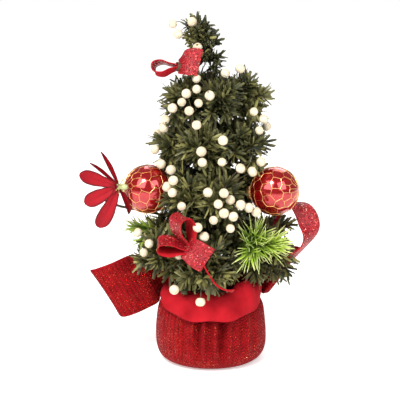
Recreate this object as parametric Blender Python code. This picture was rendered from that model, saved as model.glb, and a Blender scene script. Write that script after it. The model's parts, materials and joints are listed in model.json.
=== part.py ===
"""Artificial tabletop tree: a wire-stemmed pine in a weighted cloth bag, with its ornaments.

Metres, +Z up. The origin is on the stem's axis at the underside of the bag, and the front is -Y.
Every piece that bends is parented to an empty that stands on its hinge.
"""

import math

import bmesh
import bpy
from mathutils import Matrix, Vector

MM = 0.001
GAP = 0.3 * MM  # free space kept between two pieces that touch

# ---- Driving dimensions -------------------------------------------------------------------
BAG_RADIUS = 31.5 * MM
BAG_WALL = 1.6 * MM
BAG_NECK_Z = 43 * MM
NECK_RADIUS = 21.8 * MM
CUP_WALL = 1.4 * MM
CUP_HEIGHT = 32 * MM
CUP_CLEARANCE = 0.43 * MM  # between the cup's rim and the bag's shoulder
COLLAR_WALL = 1.3 * MM
COLLAR_ARC = (188, 354)  # degrees round the neck, across the front
TIE_RADIUS = 1.1 * MM
STEM_RADIUS = 1.9 * MM
STEM_ABOVE_CROWN = 25 * MM  # from the top whorl to the top of the stem
BINDING_WALL = 1.3 * MM
BINDING_HEIGHT = 7 * MM
FIRST_WHORL_Z = 61 * MM
WHORL_STEP = 26 * MM
BRANCH_WIRE_RADIUS = 0.8 * MM
LEADER_LENGTH = 31 * MM
LEADER_LEAN = 18  # degrees towards -X
BERRY_RADIUS = 2.7 * MM
BERRY_STALK_RADIUS = 0.5 * MM
BAUBLE_RADIUS = 13.5 * MM
BAUBLE_WALL = 0.9 * MM
BAUBLE_NECK_RADIUS = 3.2 * MM
PICK_WIRE_RADIUS = 0.8 * MM
PETAL_LENGTH = 18 * MM
PETAL_WIDTH = 8 * MM
CLOTH_RIBBON_WIDTH = 32 * MM
CLOTH_RIBBON_THICKNESS = 1.3 * MM
RIBBON_WIDTH = 11 * MM
RIBBON_THICKNESS = 0.9 * MM

# ---- Sizes that follow from them ----------------------------------------------------------
STEM_TOP_Z = FIRST_WHORL_Z + 3 * WHORL_STEP + STEM_ABOVE_CROWN
CUP_FLOOR_Z = BAG_WALL + GAP
CUP_TOP_Z = CUP_FLOOR_Z + CUP_HEIGHT
SHOULDER_FOOT = (BAG_RADIUS - 1.9 * MM, 32 * MM)  # the bag's shoulder slopes in between these two
SHOULDER_HEAD = (NECK_RADIUS + 4.7 * MM, 37.5 * MM)
SHOULDER_SLOPE = (SHOULDER_HEAD[0] - SHOULDER_FOOT[0]) / (SHOULDER_HEAD[1] - SHOULDER_FOOT[1])
CUP_TOP_RADIUS = SHOULDER_FOOT[0] + SHOULDER_SLOPE * (CUP_TOP_Z - SHOULDER_FOOT[1]) - BAG_WALL - CUP_CLEARANCE
CUP_FOOT_RADIUS = CUP_TOP_RADIUS - 4.6 * MM
BALLAST_TOP_Z = CUP_TOP_Z - 2 * MM
STEM_FOOT_Z = CUP_FLOOR_Z + CUP_WALL + GAP + 4 * MM
COLLAR_TOP_Z = BAG_NECK_Z + 6.6 * MM
KNOT_SIZE = (9 * MM, 7 * MM, 10 * MM)
BOW_Y = NECK_RADIUS + 2 * TIE_RADIUS + 3 * GAP + KNOT_SIZE[1] / 2  # the bow is tied behind the neck
BINDING_RADIUS = STEM_RADIUS + GAP + BINDING_WALL
HINGE_REACH = BINDING_RADIUS + 1.3 * MM  # how far a branch's hinge stands off the stem's axis
WIRE_BEHIND_HINGE = 0.5 * MM
WHORL_Z = [FIRST_WHORL_Z + i * WHORL_STEP for i in range(4)]
LEADER_Z = STEM_TOP_Z + GAP + 1.2 * MM

# Each branch: the compass angle, the angle above level and the length, both from its hinge.
WHORLS = {
    "low": [
        ("front", 262, -6, 40),
        ("left", 207, 2, 40),
        ("right", 345, 3, 42),
        ("back_right", 40, 12, 38),
        ("back", 95, 12, 38),
        ("back_left", 150, 14, 38),
    ],
    "middle": [
        ("front_left", 241, 20, 35),
        ("front", 281, 20, 33),
        ("back_right", 27, 24, 34),
        ("back", 90, 24, 34),
        ("back_left", 145, 24, 34),
    ],
    "high": [
        ("left", 188, 30, 29),
        ("front", 257, 30, 29),
        ("right", 334, 30, 30),
        ("back_right", 47, 32, 30),
        ("back_left", 120, 32, 30),
    ],
    "crown": [
        ("left", 212, 34, 26),
        ("front", 290, 36, 24),
        ("right", 4, 30, 29),
        ("back", 108, 36, 26),
    ],
}
FOLIAGE_RADIUS = {"low": 6.4 * MM, "middle": 6.3 * MM, "high": 6.0 * MM, "crown": 5.6 * MM}

# Each spray of berries stands on the tip of one branch. A berry is given by the length of its
# stalk, the angle of the stalk off the branch and the angle round the branch from the top.
SPRAYS = {
    "low_front": [(8, 60, 70), (9, 70, 190), (8, 20, 320)],
    "low_left": [(9, 75, 20), (9, 65, 120), (8, 30, 250)],
    "low_back": [(9, 60, 0), (9, 60, 120), (9, 60, 240)],
    "middle_front_left": [(9, 75, 20), (9, 70, 250), (8, 30, 170), (10, 85, 320)],
    "middle_front": [(9, 45, 0), (9, 75, 60), (10, 85, 130), (9, 60, 200), (8, 20, 240), (10, 85, 290)],
    "middle_back": [(9, 60, 60), (9, 60, 180), (9, 60, 300)],
    "high_left": [(8, 70, 0), (9, 65, 110), (8, 65, 230)],
    "high_front": [(9, 75, 20), (9, 60, 110), (8, 25, 200), (10, 80, 290)],
    "high_right": [(9, 75, 10), (9, 60, 120), (8, 30, 210), (10, 80, 290)],
    "crown_left": [(8, 75, 80), (8, 60, 150), (8, 75, 275)],
    "crown_front": [(9, 75, 0), (10, 80, 70), (8, 30, 140), (9, 60, 220), (10, 85, 290)],
    "leader": [(8, 80, 20), (8, 80, 150), (8, 75, 270)],
}

FINISHES = {
    "bag_red": ((0.36, 0.012, 0.018, 1), 0.7, 0.1),
    "felt_red": ((0.42, 0.016, 0.03, 1), 0.9, 0.0),
    "cup_plastic": ((0.05, 0.05, 0.05, 1), 0.5, 0.0),
    "plaster": ((0.62, 0.6, 0.55, 1), 0.9, 0.0),
    "stem_tape": ((0.09, 0.06, 0.035, 1), 0.85, 0.0),
    "needle_green": ((0.06, 0.085, 0.035, 1), 0.6, 0.0),
    "pick_green": ((0.3, 0.45, 0.06, 1), 0.5, 0.0),
    "berry_cream": ((0.85, 0.74, 0.6, 1), 0.6, 0.0),
    "bauble_red": ((0.55, 0.012, 0.015, 1), 0.12, 0.5),
    "cap_gold": ((0.75, 0.5, 0.2, 1), 0.3, 1.0),
    "wire_green": ((0.06, 0.09, 0.04, 1), 0.6, 0.2),
    "silk_red": ((0.36, 0.008, 0.02, 1), 0.6, 0.0),
    "stamen_green": ((0.3, 0.33, 0.12, 1), 0.7, 0.0),
    "ribbon_red": ((0.5, 0.012, 0.02, 1), 0.45, 0.2),
}


# ---- Small tools --------------------------------------------------------------------------
def clear_scene():
    for thing in list(bpy.data.objects):
        bpy.data.objects.remove(thing)


def material(name):
    found = bpy.data.materials.get(name)
    if found:
        return found
    colour, roughness, metallic = FINISHES[name]
    made = bpy.data.materials.new(name)
    made.use_nodes = True
    shader = made.node_tree.nodes["Principled BSDF"]
    shader.inputs["Base Color"].default_value = colour
    shader.inputs["Roughness"].default_value = roughness
    shader.inputs["Metallic"].default_value = metallic
    return made


def linked(name, mesh, finish=None):
    thing = bpy.data.objects.new(name, mesh)
    bpy.context.scene.collection.objects.link(thing)
    if finish:
        mesh.materials.clear()
        mesh.materials.append(material(finish))
    return thing


def from_bmesh(name, bm, finish=None, smooth=True):
    bmesh.ops.recalc_face_normals(bm, faces=bm.faces)
    mesh = bpy.data.meshes.new(name)
    bm.to_mesh(mesh)
    bm.free()
    if smooth:
        mesh.shade_smooth()
    return linked(name, mesh, finish)


def turned(name, outline, steps, finish=None, arc=360, start=0):
    """A body of revolution about Z. The outline is (radius, height) points; one that starts and
    ends on the axis closes itself, and any other is a loop."""
    bm = bmesh.new()
    points = [bm.verts.new((r, 0, z)) for r, z in outline]
    edges = [bm.edges.new(pair) for pair in zip(points, points[1:])]
    on_axis = outline[0][0] == 0 and outline[-1][0] == 0
    if not on_axis:
        edges.append(bm.edges.new((points[-1], points[0])))
    bmesh.ops.rotate(bm, verts=bm.verts, cent=(0, 0, 0), matrix=Matrix.Rotation(math.radians(start), 3, "Z"))
    profile = list(bm.verts) + list(bm.edges)
    whole = arc == 360
    angle = math.radians(arc)
    made = bmesh.ops.spin(
        bm, geom=profile, cent=(0, 0, 0), axis=(0, 0, 1), angle=angle, steps=steps, use_merge=whole
    )
    if not whole:
        last = [e for e in made["geom_last"] if isinstance(e, bmesh.types.BMEdge)]
        bmesh.ops.edgeloop_fill(bm, edges=edges)
        bmesh.ops.edgeloop_fill(bm, edges=last)
    bmesh.ops.remove_doubles(bm, verts=bm.verts, dist=1e-7)
    return from_bmesh(name, bm, finish)


def tube(name, points, radius, finish=None, sides=2):
    """A round wire through the points, as a mesh. The bevel resolution sets its sides."""
    curve = bpy.data.curves.new(name, "CURVE")
    curve.dimensions = "3D"
    curve.bevel_depth = radius
    curve.bevel_resolution = sides
    curve.use_fill_caps = True
    spline = curve.splines.new("POLY")
    spline.points.add(len(points) - 1)
    for place, point in zip(spline.points, points):
        place.co = (*point, 1)
    guide = linked(name + "_guide", curve)
    graph = bpy.context.evaluated_depsgraph_get()
    mesh = bpy.data.meshes.new_from_object(guide.evaluated_get(graph))
    bpy.data.objects.remove(guide)
    bm = bmesh.new()
    bm.from_mesh(mesh)
    bmesh.ops.remove_doubles(bm, verts=bm.verts, dist=1e-7)
    bpy.data.meshes.remove(mesh)
    return from_bmesh(name, bm, finish)


def smooth_route(points, per_span=4):
    """Points along a Catmull-Rom curve through the given ones."""
    ends = [2 * points[0] - points[1], *points, 2 * points[-1] - points[-2]]
    route = []
    for a, b, c, d in zip(ends, ends[1:], ends[2:], ends[3:]):
        for i in range(per_span):
            t = i / per_span
            square = (2 * a - 5 * b + 4 * c - d) * t**2
            cube = (3 * b - a - 3 * c + d) * t**3
            route.append(0.5 * (2 * b + (c - a) * t + square + cube))
    return [*route, points[-1]]


def band(name, path, widths, across, thickness, finish=None, slanted=False):
    """A flat strip of cloth along a path. across is the direction of its width, either one for
    the whole strip or one for each point. It is squared to the path unless it is slanted."""
    bm = bmesh.new()
    rows = []
    last = len(path) - 1
    for i, point in enumerate(path):
        along = (path[min(i + 1, last)] - path[max(i - 1, 0)]).normalized()
        side = across[i] if isinstance(across, list) else across
        if not slanted:
            side = side - along * side.dot(along)
        side = side.normalized()
        out = along.cross(side).normalized() * thickness / 2
        half = side * widths[i] / 2
        corners = (point - half - out, point + half - out, point + half + out, point - half + out)
        rows.append([bm.verts.new(c) for c in corners])
    for row, following in zip(rows, rows[1:]):
        for k in range(4):
            j = (k + 1) % 4
            bm.faces.new((row[k], row[j], following[j], following[k]))
    bm.faces.new(rows[0])
    bm.faces.new(rows[-1])
    return from_bmesh(name, bm, finish)


def ball(name, centre, radius):
    bm = bmesh.new()
    bmesh.ops.create_icosphere(bm, subdivisions=2, radius=radius, matrix=Matrix.Translation(centre))
    return from_bmesh(name, bm)


def fused(name, pieces, finish):
    """The pieces united into one body, which takes the first piece's place."""
    body = pieces[0]
    for other in pieces[1:]:
        union = body.modifiers.new("join", "BOOLEAN")
        union.operation = "UNION"
        union.object = other
    graph = bpy.context.evaluated_depsgraph_get()
    mesh = bpy.data.meshes.new_from_object(body.evaluated_get(graph))
    for piece in pieces:
        bpy.data.objects.remove(piece)
    return linked(name, mesh, finish)


def hinge_empty(name, place, turn_z=0.0):
    empty = bpy.data.objects.new(name, None)
    bpy.context.scene.collection.objects.link(empty)
    empty.empty_display_size = 4 * MM
    empty.location = place
    empty.rotation_euler = (0, 0, turn_z)
    return empty


def eased(count, low, high):
    """count values that rise from low to high along half a sine wave."""
    return [low + (high - low) * math.sin(math.pi / 2 * i / (count - 1)) for i in range(count)]


# ---- The weighted foot --------------------------------------------------------------------
def bag_outline():
    """The outside of the bag from the middle of its underside up to its hem."""
    r = BAG_RADIUS
    corner = [(r - 8 * MM + 7.5 * MM * math.sin(a), 9 * MM * (1 - math.cos(a))) for a in (0, 0.6, 1.2)]
    shoulder = [(r, 17 * MM), (r - 0.4 * MM, 25 * MM), SHOULDER_FOOT, SHOULDER_HEAD]
    neck = [
        (NECK_RADIUS + 0.7 * MM, BAG_NECK_Z - 1.6 * MM),
        (NECK_RADIUS, BAG_NECK_Z),
        (NECK_RADIUS, BAG_NECK_Z + 3 * MM),
    ]
    return [(0, 0), *corner, *shoulder, *neck]


def bag_cloth():
    outside = bag_outline()
    inside = [(max(0, r - BAG_WALL), max(z, BAG_WALL)) for r, z in outside[2:]]
    return turned("bag_cloth", [*outside, *reversed(inside), (0, BAG_WALL)], 30, "bag_red")


def base_cup():
    foot, rim = CUP_FOOT_RADIUS, CUP_TOP_RADIUS
    low, high = CUP_FLOOR_Z, CUP_TOP_Z
    inner_foot = foot - CUP_WALL
    inner_rim = rim - CUP_WALL
    floor = low + CUP_WALL
    outline = [(0, low), (foot, low), (rim, high), (inner_rim, high), (inner_foot, floor), (0, floor)]
    return turned("base_cup", outline, 24, "cup_plastic")


def ballast_weight():
    """Plaster cast in the cup round the foot of the stem."""
    low = CUP_FLOOR_Z + CUP_WALL + GAP
    high = BALLAST_TOP_Z
    slope = (CUP_TOP_RADIUS - CUP_FOOT_RADIUS) / CUP_HEIGHT
    clear = CUP_WALL + 2 * GAP
    foot = CUP_FOOT_RADIUS - clear + slope * (low - CUP_FLOOR_Z)
    rim = CUP_FOOT_RADIUS - clear + slope * (high - CUP_FLOOR_Z)
    hole = STEM_RADIUS + GAP
    hole_floor = STEM_FOOT_Z - GAP
    outline = [(0, low), (foot, low), (rim, high), (hole, high), (hole, hole_floor), (0, hole_floor)]
    return turned("ballast_weight", outline, 24, "plaster")


def neck_tie():
    """The gathering cord round the neck of the bag."""
    ring = NECK_RADIUS + GAP + TIE_RADIUS
    circle = [
        (ring + TIE_RADIUS * math.cos(a), BAG_NECK_Z + TIE_RADIUS * math.sin(a))
        for a in (i * math.tau / 6 for i in range(6))
    ]
    return turned("neck_tie", circle, 24, "felt_red")


def bag_collar():
    """The mouth of the bag turned down over the front, felt side out."""
    top = COLLAR_TOP_Z
    r = NECK_RADIUS
    spine = [
        (r + 1.6 * MM, top - 3.6 * MM),
        (r + 3 * MM, top - 0.9 * MM),
        (r + 5.6 * MM, top - 0.4 * MM),
        (r + 8.4 * MM, top - 4.4 * MM),
        (r + 10.4 * MM, top - 10 * MM),
        (BAG_RADIUS + 1.7 * MM, top - 16.8 * MM),
    ]
    outer, inner = [], []
    for i, (x, z) in enumerate(spine):
        ahead, behind = spine[min(i + 1, 5)], spine[max(i - 1, 0)]
        dx, dz = ahead[0] - behind[0], ahead[1] - behind[1]
        length = math.hypot(dx, dz)
        nx, nz = -dz / length * COLLAR_WALL / 2, dx / length * COLLAR_WALL / 2
        outer.append((x + nx, z + nz))
        inner.append((x - nx, z - nz))
    start, end = COLLAR_ARC
    return turned("bag_collar", [*outer, *reversed(inner)], 22, "felt_red", arc=end - start, start=start)


def bow_knot():
    bm = bmesh.new()
    place = Vector((0, BOW_Y, BAG_NECK_Z))
    bmesh.ops.create_cube(bm, size=1, matrix=Matrix.Translation(place) @ Matrix.Diagonal((*KNOT_SIZE, 1)))
    bmesh.ops.bevel(bm, geom=list(bm.edges), offset=2 * MM, segments=2, affect="EDGES", profile=0.5)
    return from_bmesh("bag_bow_knot", bm, "bag_red")


def bag_bow_loop(name, side, fold, near, lean, turn_back, slant):
    """One loop of the cloth bow, pressed nearly flat. It leaves the knot behind the neck, comes
    round the neck, opens out to its full width and returns at the fold. near is its distance
    from the bag where it opens out, lean tips the cloth's width outwards, turn_back tips it
    towards the back and slant is the rise from the fold to the bag's side."""
    reach = BAG_RADIUS
    tip_x, tip_y, tip_z = fold
    near_x = reach + near
    near_z = tip_z + slant
    mid_x, mid_z = (tip_x + near_x) / 2, tip_z + 0.4 * slant
    neck = BAG_NECK_Z
    # Each point: x, y, z, how far the cloth is let out of its gathers.
    plan = [
        (5.4 * MM, BOW_Y + 1.8 * MM, neck, 0),
        (0.62 * reach, BOW_Y + 0.6 * MM, neck, 0.05),
        (0.96 * reach, BOW_Y - 6 * MM, neck, 0.3),
        (near_x, tip_y + 9 * MM, near_z, 0.95),
        (mid_x, tip_y + 4.5 * MM, mid_z, 1),
        (tip_x - 3 * MM, tip_y + 3 * MM, tip_z, 1),
        (tip_x, tip_y, tip_z, 1),
        (tip_x - 3 * MM, tip_y - 3 * MM, tip_z, 1),
        (mid_x, tip_y - 2.5 * MM, mid_z, 1),
        (near_x, tip_y + 2 * MM, near_z, 0.95),
        (0.94 * reach, 14.5 * MM, neck, 0.3),
        (0.6 * reach, BOW_Y - 6 * MM, neck, 0.05),
        (5.4 * MM, BOW_Y - 1.8 * MM, neck, 0),
    ]
    path = smooth_route([Vector((side * x, y, z)) for x, y, z, _ in plan], 3)
    shares = [max(0, min(1, p.x)) for p in smooth_route([Vector((k, 0, 0)) for *_, k in plan], 3)]
    gathered = 8 * MM
    widths = [gathered + (CLOTH_RIBBON_WIDTH - gathered) * share for share in shares]
    tilts = [Vector((side * lean * share, turn_back * share, 1)) for share in shares]
    return band(name, path, widths, tilts, CLOTH_RIBBON_THICKNESS, "bag_red", slanted=True)


# ---- The stem and its branches ------------------------------------------------------------
def trunk_stem():
    outline = [(0, STEM_FOOT_Z), (STEM_RADIUS, STEM_FOOT_Z), (STEM_RADIUS, STEM_TOP_Z), (0, STEM_TOP_Z)]
    return turned("trunk_stem", outline, 12, "stem_tape")


def whorl_binding(level, z):
    """Tape wound round the stem where one whorl of branch wires is held."""
    inner = STEM_RADIUS + GAP
    outer = BINDING_RADIUS
    half = BINDING_HEIGHT / 2
    chamfer = 0.5 * MM
    outline = [
        (inner, z - half),
        (outer - chamfer, z - half),
        (outer, z - half + chamfer),
        (outer, z + half - chamfer),
        (outer - chamfer, z + half),
        (inner, z + half),
    ]
    return turned(level + "_binding", outline, 12, "stem_tape")


def foliage_outline(length, radius):
    """A tinsel branch: bare wire at the root, then needles that swell and taper to the tip."""
    wire = BRANCH_WIRE_RADIUS
    needles = 5.5 * MM
    body = length - needles
    shape = [(0.0, 0.5), (0.16, 0.78), (0.42, 1.0), (0.68, 0.92), (0.88, 0.62), (1.0, 0.2)]
    swell = [(radius * share, needles + body * t) for t, share in shape]
    root = [(0, -WIRE_BEHIND_HINGE), (wire, -WIRE_BEHIND_HINGE), (wire, needles - 0.6 * MM)]
    return [*root, *swell, (0, length)]


def branch(level, way, z, compass, climb, length, radius):
    """One branch on its hinge: an empty at the stem, with the branch pointing up its own Z."""
    turn = math.radians(compass)
    place = Vector((math.cos(turn) * HINGE_REACH, math.sin(turn) * HINGE_REACH, z))
    empty = hinge_empty(f"{level}_{way}_hinge", place, turn)
    piece = turned(f"{level}_{way}_branch", foliage_outline(length, radius), 10, "needle_green")
    piece.parent = empty
    piece.rotation_euler = (0, math.radians(90 - climb), 0)
    return piece


def berry_spray(host_name, tip, berries, parent, turn):
    """Berries on stalks that meet just past the tip of a branch. The host's +Z is its length
    and its -X is the upper side."""
    hub = Vector((0, 0, tip + GAP + 1.0 * MM))
    pieces = [ball(host_name + "_hub", hub, 1.0 * MM)]
    for i, (stalk, off, around) in enumerate(berries):
        off, around = math.radians(off), math.radians(around)
        out = Vector((-math.cos(around) * math.sin(off), math.sin(around) * math.sin(off), math.cos(off)))
        centre = hub + out * stalk * MM
        pieces.append(tube(f"{host_name}_stalk_{i}", [hub, centre], BERRY_STALK_RADIUS, sides=0))
        pieces.append(ball(f"{host_name}_berry_{i}", centre, BERRY_RADIUS))
    spray = fused(host_name + "_berries", pieces, "berry_cream")
    spray.parent = parent
    spray.rotation_euler = turn
    return spray


def leader():
    """The top shoot, bent over to one side."""
    empty = hinge_empty("leader_hinge", (0, 0, LEADER_Z))
    length, radius = LEADER_LENGTH, 5.2 * MM
    piece = turned("leader_tip", foliage_outline(length, radius), 10, "needle_green")
    turn = (0, math.radians(-LEADER_LEAN), 0)
    piece.parent = empty
    piece.rotation_euler = turn
    berry_spray("leader", length, SPRAYS["leader"], empty, turn)


def tree():
    trunk_stem()
    for (level, branches), z in zip(WHORLS.items(), WHORL_Z):
        whorl_binding(level, z)
        for way, compass, climb, length in branches:
            piece = branch(level, way, z, compass, climb, length * MM, FOLIAGE_RADIUS[level])
            spray = SPRAYS.get(f"{level}_{way}")
            if spray:
                berry_spray(f"{level}_{way}", length * MM, spray, piece.parent, piece.rotation_euler)
    leader()


# ---- Ornaments on wire picks --------------------------------------------------------------
def bauble(side_name, centre, root):
    """A hollow ball with a crimped cap, on a wire that is pushed in at the stem."""
    inward = (root - centre).normalized()
    turn = inward.to_track_quat("Z", "Y").to_euler()
    empty = hinge_empty(side_name + "_bauble_hinge", root)
    r, neck, wall = BAUBLE_RADIUS, BAUBLE_NECK_RADIUS, BAUBLE_WALL
    low = math.asin(neck / r)
    arcs = [low + (math.pi - low) * i / 9 for i in range(10)]
    outside = [(r * math.sin(a), r * math.cos(a)) for a in arcs[:-1]]
    inside = [((r - wall) * math.sin(a), (r - wall) * math.cos(a)) for a in arcs[:-1]]
    mouth = r * math.cos(low) + 1.6 * MM
    outline = [(0, -r), *reversed(outside), (neck, mouth), (neck - wall, mouth), *inside, (0, wall - r)]
    shell = turned(side_name + "_bauble", outline, 18, "bauble_red")
    cap_in, cap_out = neck + GAP, neck + GAP + 0.6 * MM
    cap_foot = r * math.cos(math.asin(cap_out / r)) + GAP + 0.15 * MM
    cap_top = mouth + GAP + 0.6 * MM
    cap_outline = [
        (0, cap_top),
        (cap_out, cap_top),
        (cap_out, cap_foot),
        (cap_in, cap_foot),
        (cap_in, mouth + GAP),
        (0, mouth + GAP),
    ]
    cap = turned(side_name + "_bauble_cap", cap_outline, 16, "cap_gold")
    distance = (root - centre).length
    start = cap_top + GAP
    wire = turned(
        side_name + "_bauble_wire",
        [(0, start), (PICK_WIRE_RADIUS, start), (PICK_WIRE_RADIUS, distance), (0, distance)],
        8,
        "wire_green",
    )
    for piece in (shell, cap, wire):
        piece.parent = empty
        piece.location = centre - root
        piece.rotation_euler = turn


def flower(centre, root, face):
    """A cloth flower: petals round an eye of stamens, on a wired stem."""
    empty = hinge_empty("flower_hinge", root)
    # Each petal: angle round the eye, angle it is bent back, shares of full length and width.
    petals = [
        (107, 25, 1.1, 0.45),
        (128, 30, 1.15, 0.4),
        (157, 12, 1.1, 0.85),
        (201, 8, 1.0, 0.95),
        (247, 10, 1.35, 1.0),
        (297, 25, 1.2, 0.6),
        (60, 80, 0.7, 0.6),
    ]
    rim, thick = 2.6 * MM, 0.7 * MM
    eye = turned("eye", [(0, -thick), (rim, -thick), (rim + 0.2 * MM, 0), (rim, thick), (0, thick)], 12)
    pieces = [eye]
    for i, (angle, back, reach, breadth) in enumerate(petals):
        angle, back = math.radians(angle), math.radians(back)
        out = Vector((math.cos(angle), math.sin(angle), 0))
        along = (out * math.cos(back) - Vector((0, 0, 1)) * math.sin(back)) * PETAL_LENGTH * reach
        path = [out * 1.6 * MM + along * t for t in (0, 0.2, 0.45, 0.7, 0.9, 1)]
        widths = [PETAL_WIDTH * breadth * w for w in (0.3, 0.55, 0.9, 1.0, 0.7, 0.25)]
        across = Vector((0, 0, 1)).cross(out)
        pieces.append(band(f"petal_{i}", path, widths, across, 0.8 * MM))
    blossom = fused("flower_petals", pieces, "silk_red")
    stamens = turned(
        "flower_stamens",
        [(0, 1.0 * MM), (1.5 * MM, 1.0 * MM), (2.2 * MM, 4.5 * MM), (1.6 * MM, 7 * MM), (0, 7.6 * MM)],
        10,
        "stamen_green",
    )
    for piece in (blossom, stamens):
        piece.parent = empty
        piece.location = centre - root
        piece.rotation_euler = face.to_track_quat("Z", "Y").to_euler()
    heel = centre - face * (0.7 * MM + GAP + 0.8 * MM)
    bend = [heel, heel - face * 6 * MM + Vector((-2, 4, -9)) * MM, root + Vector((-16, 4, 7)) * MM, root]
    stem = tube("flower_stem", smooth_route(bend, 4), PICK_WIRE_RADIUS, "wire_green", sides=1)
    stem.parent = empty
    stem.location = -root


def pine_pick(name, root, tip, radius, bare):
    """A plastic pine sprig on its own bare stem."""
    empty = hinge_empty(name + "_hinge", root)
    length = (tip - root).length
    body = length - bare
    shape = [(0, 0.35), (0.25, 0.85), (0.55, 1.0), (0.82, 0.8), (0.96, 0.4)]
    swell = [(radius * share, bare + body * t) for t, share in shape]
    wire = PICK_WIRE_RADIUS
    piece = turned(name, [(0, 0), (wire, 0), (wire, bare - 0.6 * MM), *swell, (0, length)], 12, "pick_green")
    piece.parent = empty
    piece.rotation_euler = (tip - root).to_track_quat("Z", "Y").to_euler()


def ornaments():
    side = BAUBLE_RADIUS + 21.5 * MM
    fore = -13 * MM
    level = WHORL_Z[1] + 13.5 * MM
    near = HINGE_REACH + 0.6 * MM
    below = WHORL_Z[1] + 7.5 * MM
    bauble("left", Vector((-side, fore, level)), Vector((-near, -0.35 * near, below)))
    bauble("right", Vector((side, fore, level - 1 * MM)), Vector((near, -0.35 * near, below)))
    flower(
        Vector((-side - BAUBLE_RADIUS - 4.5 * MM, -24 * MM, level + 3 * MM)),
        Vector((-near, 0.5 * near, WHORL_Z[0] + 12 * MM)),
        Vector((0.28, -0.92, 0.2)).normalized(),
    )
    low = Vector((0, 0, WHORL_Z[0]))
    picks = [("right", (3, -5, 5), (42, -36, 14), 8, 16), ("left", (-5, -2, 7), (-50, -7, 18), 7, 20)]
    for side_name, root, tip, radius, bare in picks:
        name = side_name + "_pine_pick"
        pine_pick(name, low + Vector(root) * MM, low + Vector(tip) * MM, radius * MM, bare * MM)


# ---- Ribbon bows --------------------------------------------------------------------------
def ribbon_loop(name, knot, tip, bulge, across, width):
    """A closed teardrop of ribbon from the knot to the tip and back."""
    along = tip - knot
    lift = along.cross(across).normalized()
    # Each point: the share of the way to the tip, the share of the bulge.
    half = [(0.0, 0.0), (0.3, 0.5), (0.62, 1.0), (0.92, 0.75)]
    plan = [*half, (1.0, 0.0), *((t, -share) for t, share in reversed(half))]
    route = []
    for i, (t, share) in enumerate(plan):
        apart = bulge * share
        if i in (0, len(plan) - 1):
            apart = (1 if i == 0 else -1) * (RIBBON_THICKNESS / 2 + GAP)
        route.append(knot + along * t + lift * apart)
    path = smooth_route(route, 2)
    narrow = 0.4 * width
    last = len(path) - 1
    widths = [narrow + (width - narrow) * math.sin(math.pi * i / last) ** 0.6 for i in range(last + 1)]
    return band(name, path, widths, across, RIBBON_THICKNESS)


def ribbon_tail(name, points, across, width):
    path = smooth_route(points, 3)
    return band(name, path, eased(len(path), 0.5 * width, width), across, RIBBON_THICKNESS)


def bow(name, knot, loops, tails, tie, host=None):
    """A ribbon bow: loops and tails that meet in a small knot, on a wire that runs to tie. It
    moves with the branch named as its host."""
    pieces = [ball(name + "_knot", knot, 2.6 * MM)]
    pieces.append(tube(name + "_tie", [knot, tie], BRANCH_WIRE_RADIUS, sides=0))
    for i, (tip, bulge, across) in enumerate(loops):
        pieces.append(ribbon_loop(f"{name}_loop_{i}", knot, knot + tip, bulge, across, RIBBON_WIDTH))
    for i, (route, across) in enumerate(tails):
        points = [knot + point for point in route]
        pieces.append(ribbon_tail(f"{name}_tail_{i}", points, across, RIBBON_WIDTH))
    made = fused(name, pieces, "ribbon_red")
    if host:
        hinge = bpy.data.objects[host + "_hinge"]
        made.parent = hinge
        made.matrix_parent_inverse = hinge.matrix_basis.inverted()


def bows():
    front = Vector((0, -1, 0))
    top = Vector((0, 0, STEM_TOP_Z))
    low = Vector((0, 0, WHORL_Z[0]))
    grip = (STEM_RADIUS + BRANCH_WIRE_RADIUS + GAP + 0.4 * MM) * math.sqrt(0.5)
    bow(
        "crown_bow",
        top + Vector((-18, -13, 4)) * MM,
        [(Vector((-13, -1, -1)) * MM, 3.2 * MM, Vector((0.2, 0, 1)))],
        [([Vector((0, 0, 0)), Vector((4, -3, 2)) * MM, Vector((11, -4, 3)) * MM], Vector((0, 0.3, 1)))],
        tie=top + Vector((-grip, -grip, -4 * MM)),
    )
    bow(
        "front_bow",
        low + Vector((-11, -41, 12)) * MM,
        [
            (Vector((-3, -4, 15)) * MM, 5 * MM, front),
            (Vector((-19, 3, 4)) * MM, 4 * MM, front + Vector((0, 0, 0.4))),
        ],
        [([Vector((0, 0, 0)), Vector((3, -3, -5)) * MM, Vector((6, -4, -10)) * MM], Vector((1, 0, 0.4)))],
        tie=low + Vector((-6, -36, 3.2)) * MM,
        host="low_front",
    )
    bow(
        "side_bow",
        low + Vector((35, 1, 16)) * MM,
        [(Vector((26, -2, 3)) * MM, 8.8 * MM, front)],
        [([Vector((0, 0, 0)), Vector((4, 3, 6)) * MM, Vector((9, 5, 12)) * MM], front)],
        tie=low + Vector((33, -7, 9.5)) * MM,
        host="low_right",
    )


def main():
    clear_scene()
    bag_cloth()
    base_cup()
    ballast_weight()
    neck_tie()
    bag_collar()
    bow_knot()
    left_fold = (BAG_RADIUS + 29 * MM, 5 * MM, 36 * MM)
    right_fold = (BAG_RADIUS + 10.5 * MM, 8 * MM, 49 * MM)
    bag_bow_loop("bag_bow_left_loop", -1, left_fold, 6.5 * MM, 0.62, 0, 7 * MM)
    bag_bow_loop("bag_bow_right_loop", 1, right_fold, 4 * MM, 0.72, 0.15, 0)
    tree()
    ornaments()
    bows()


main()
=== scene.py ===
import json
import math
import random

import bmesh
import bpy
from mathutils import Matrix, Vector, noise


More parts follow.
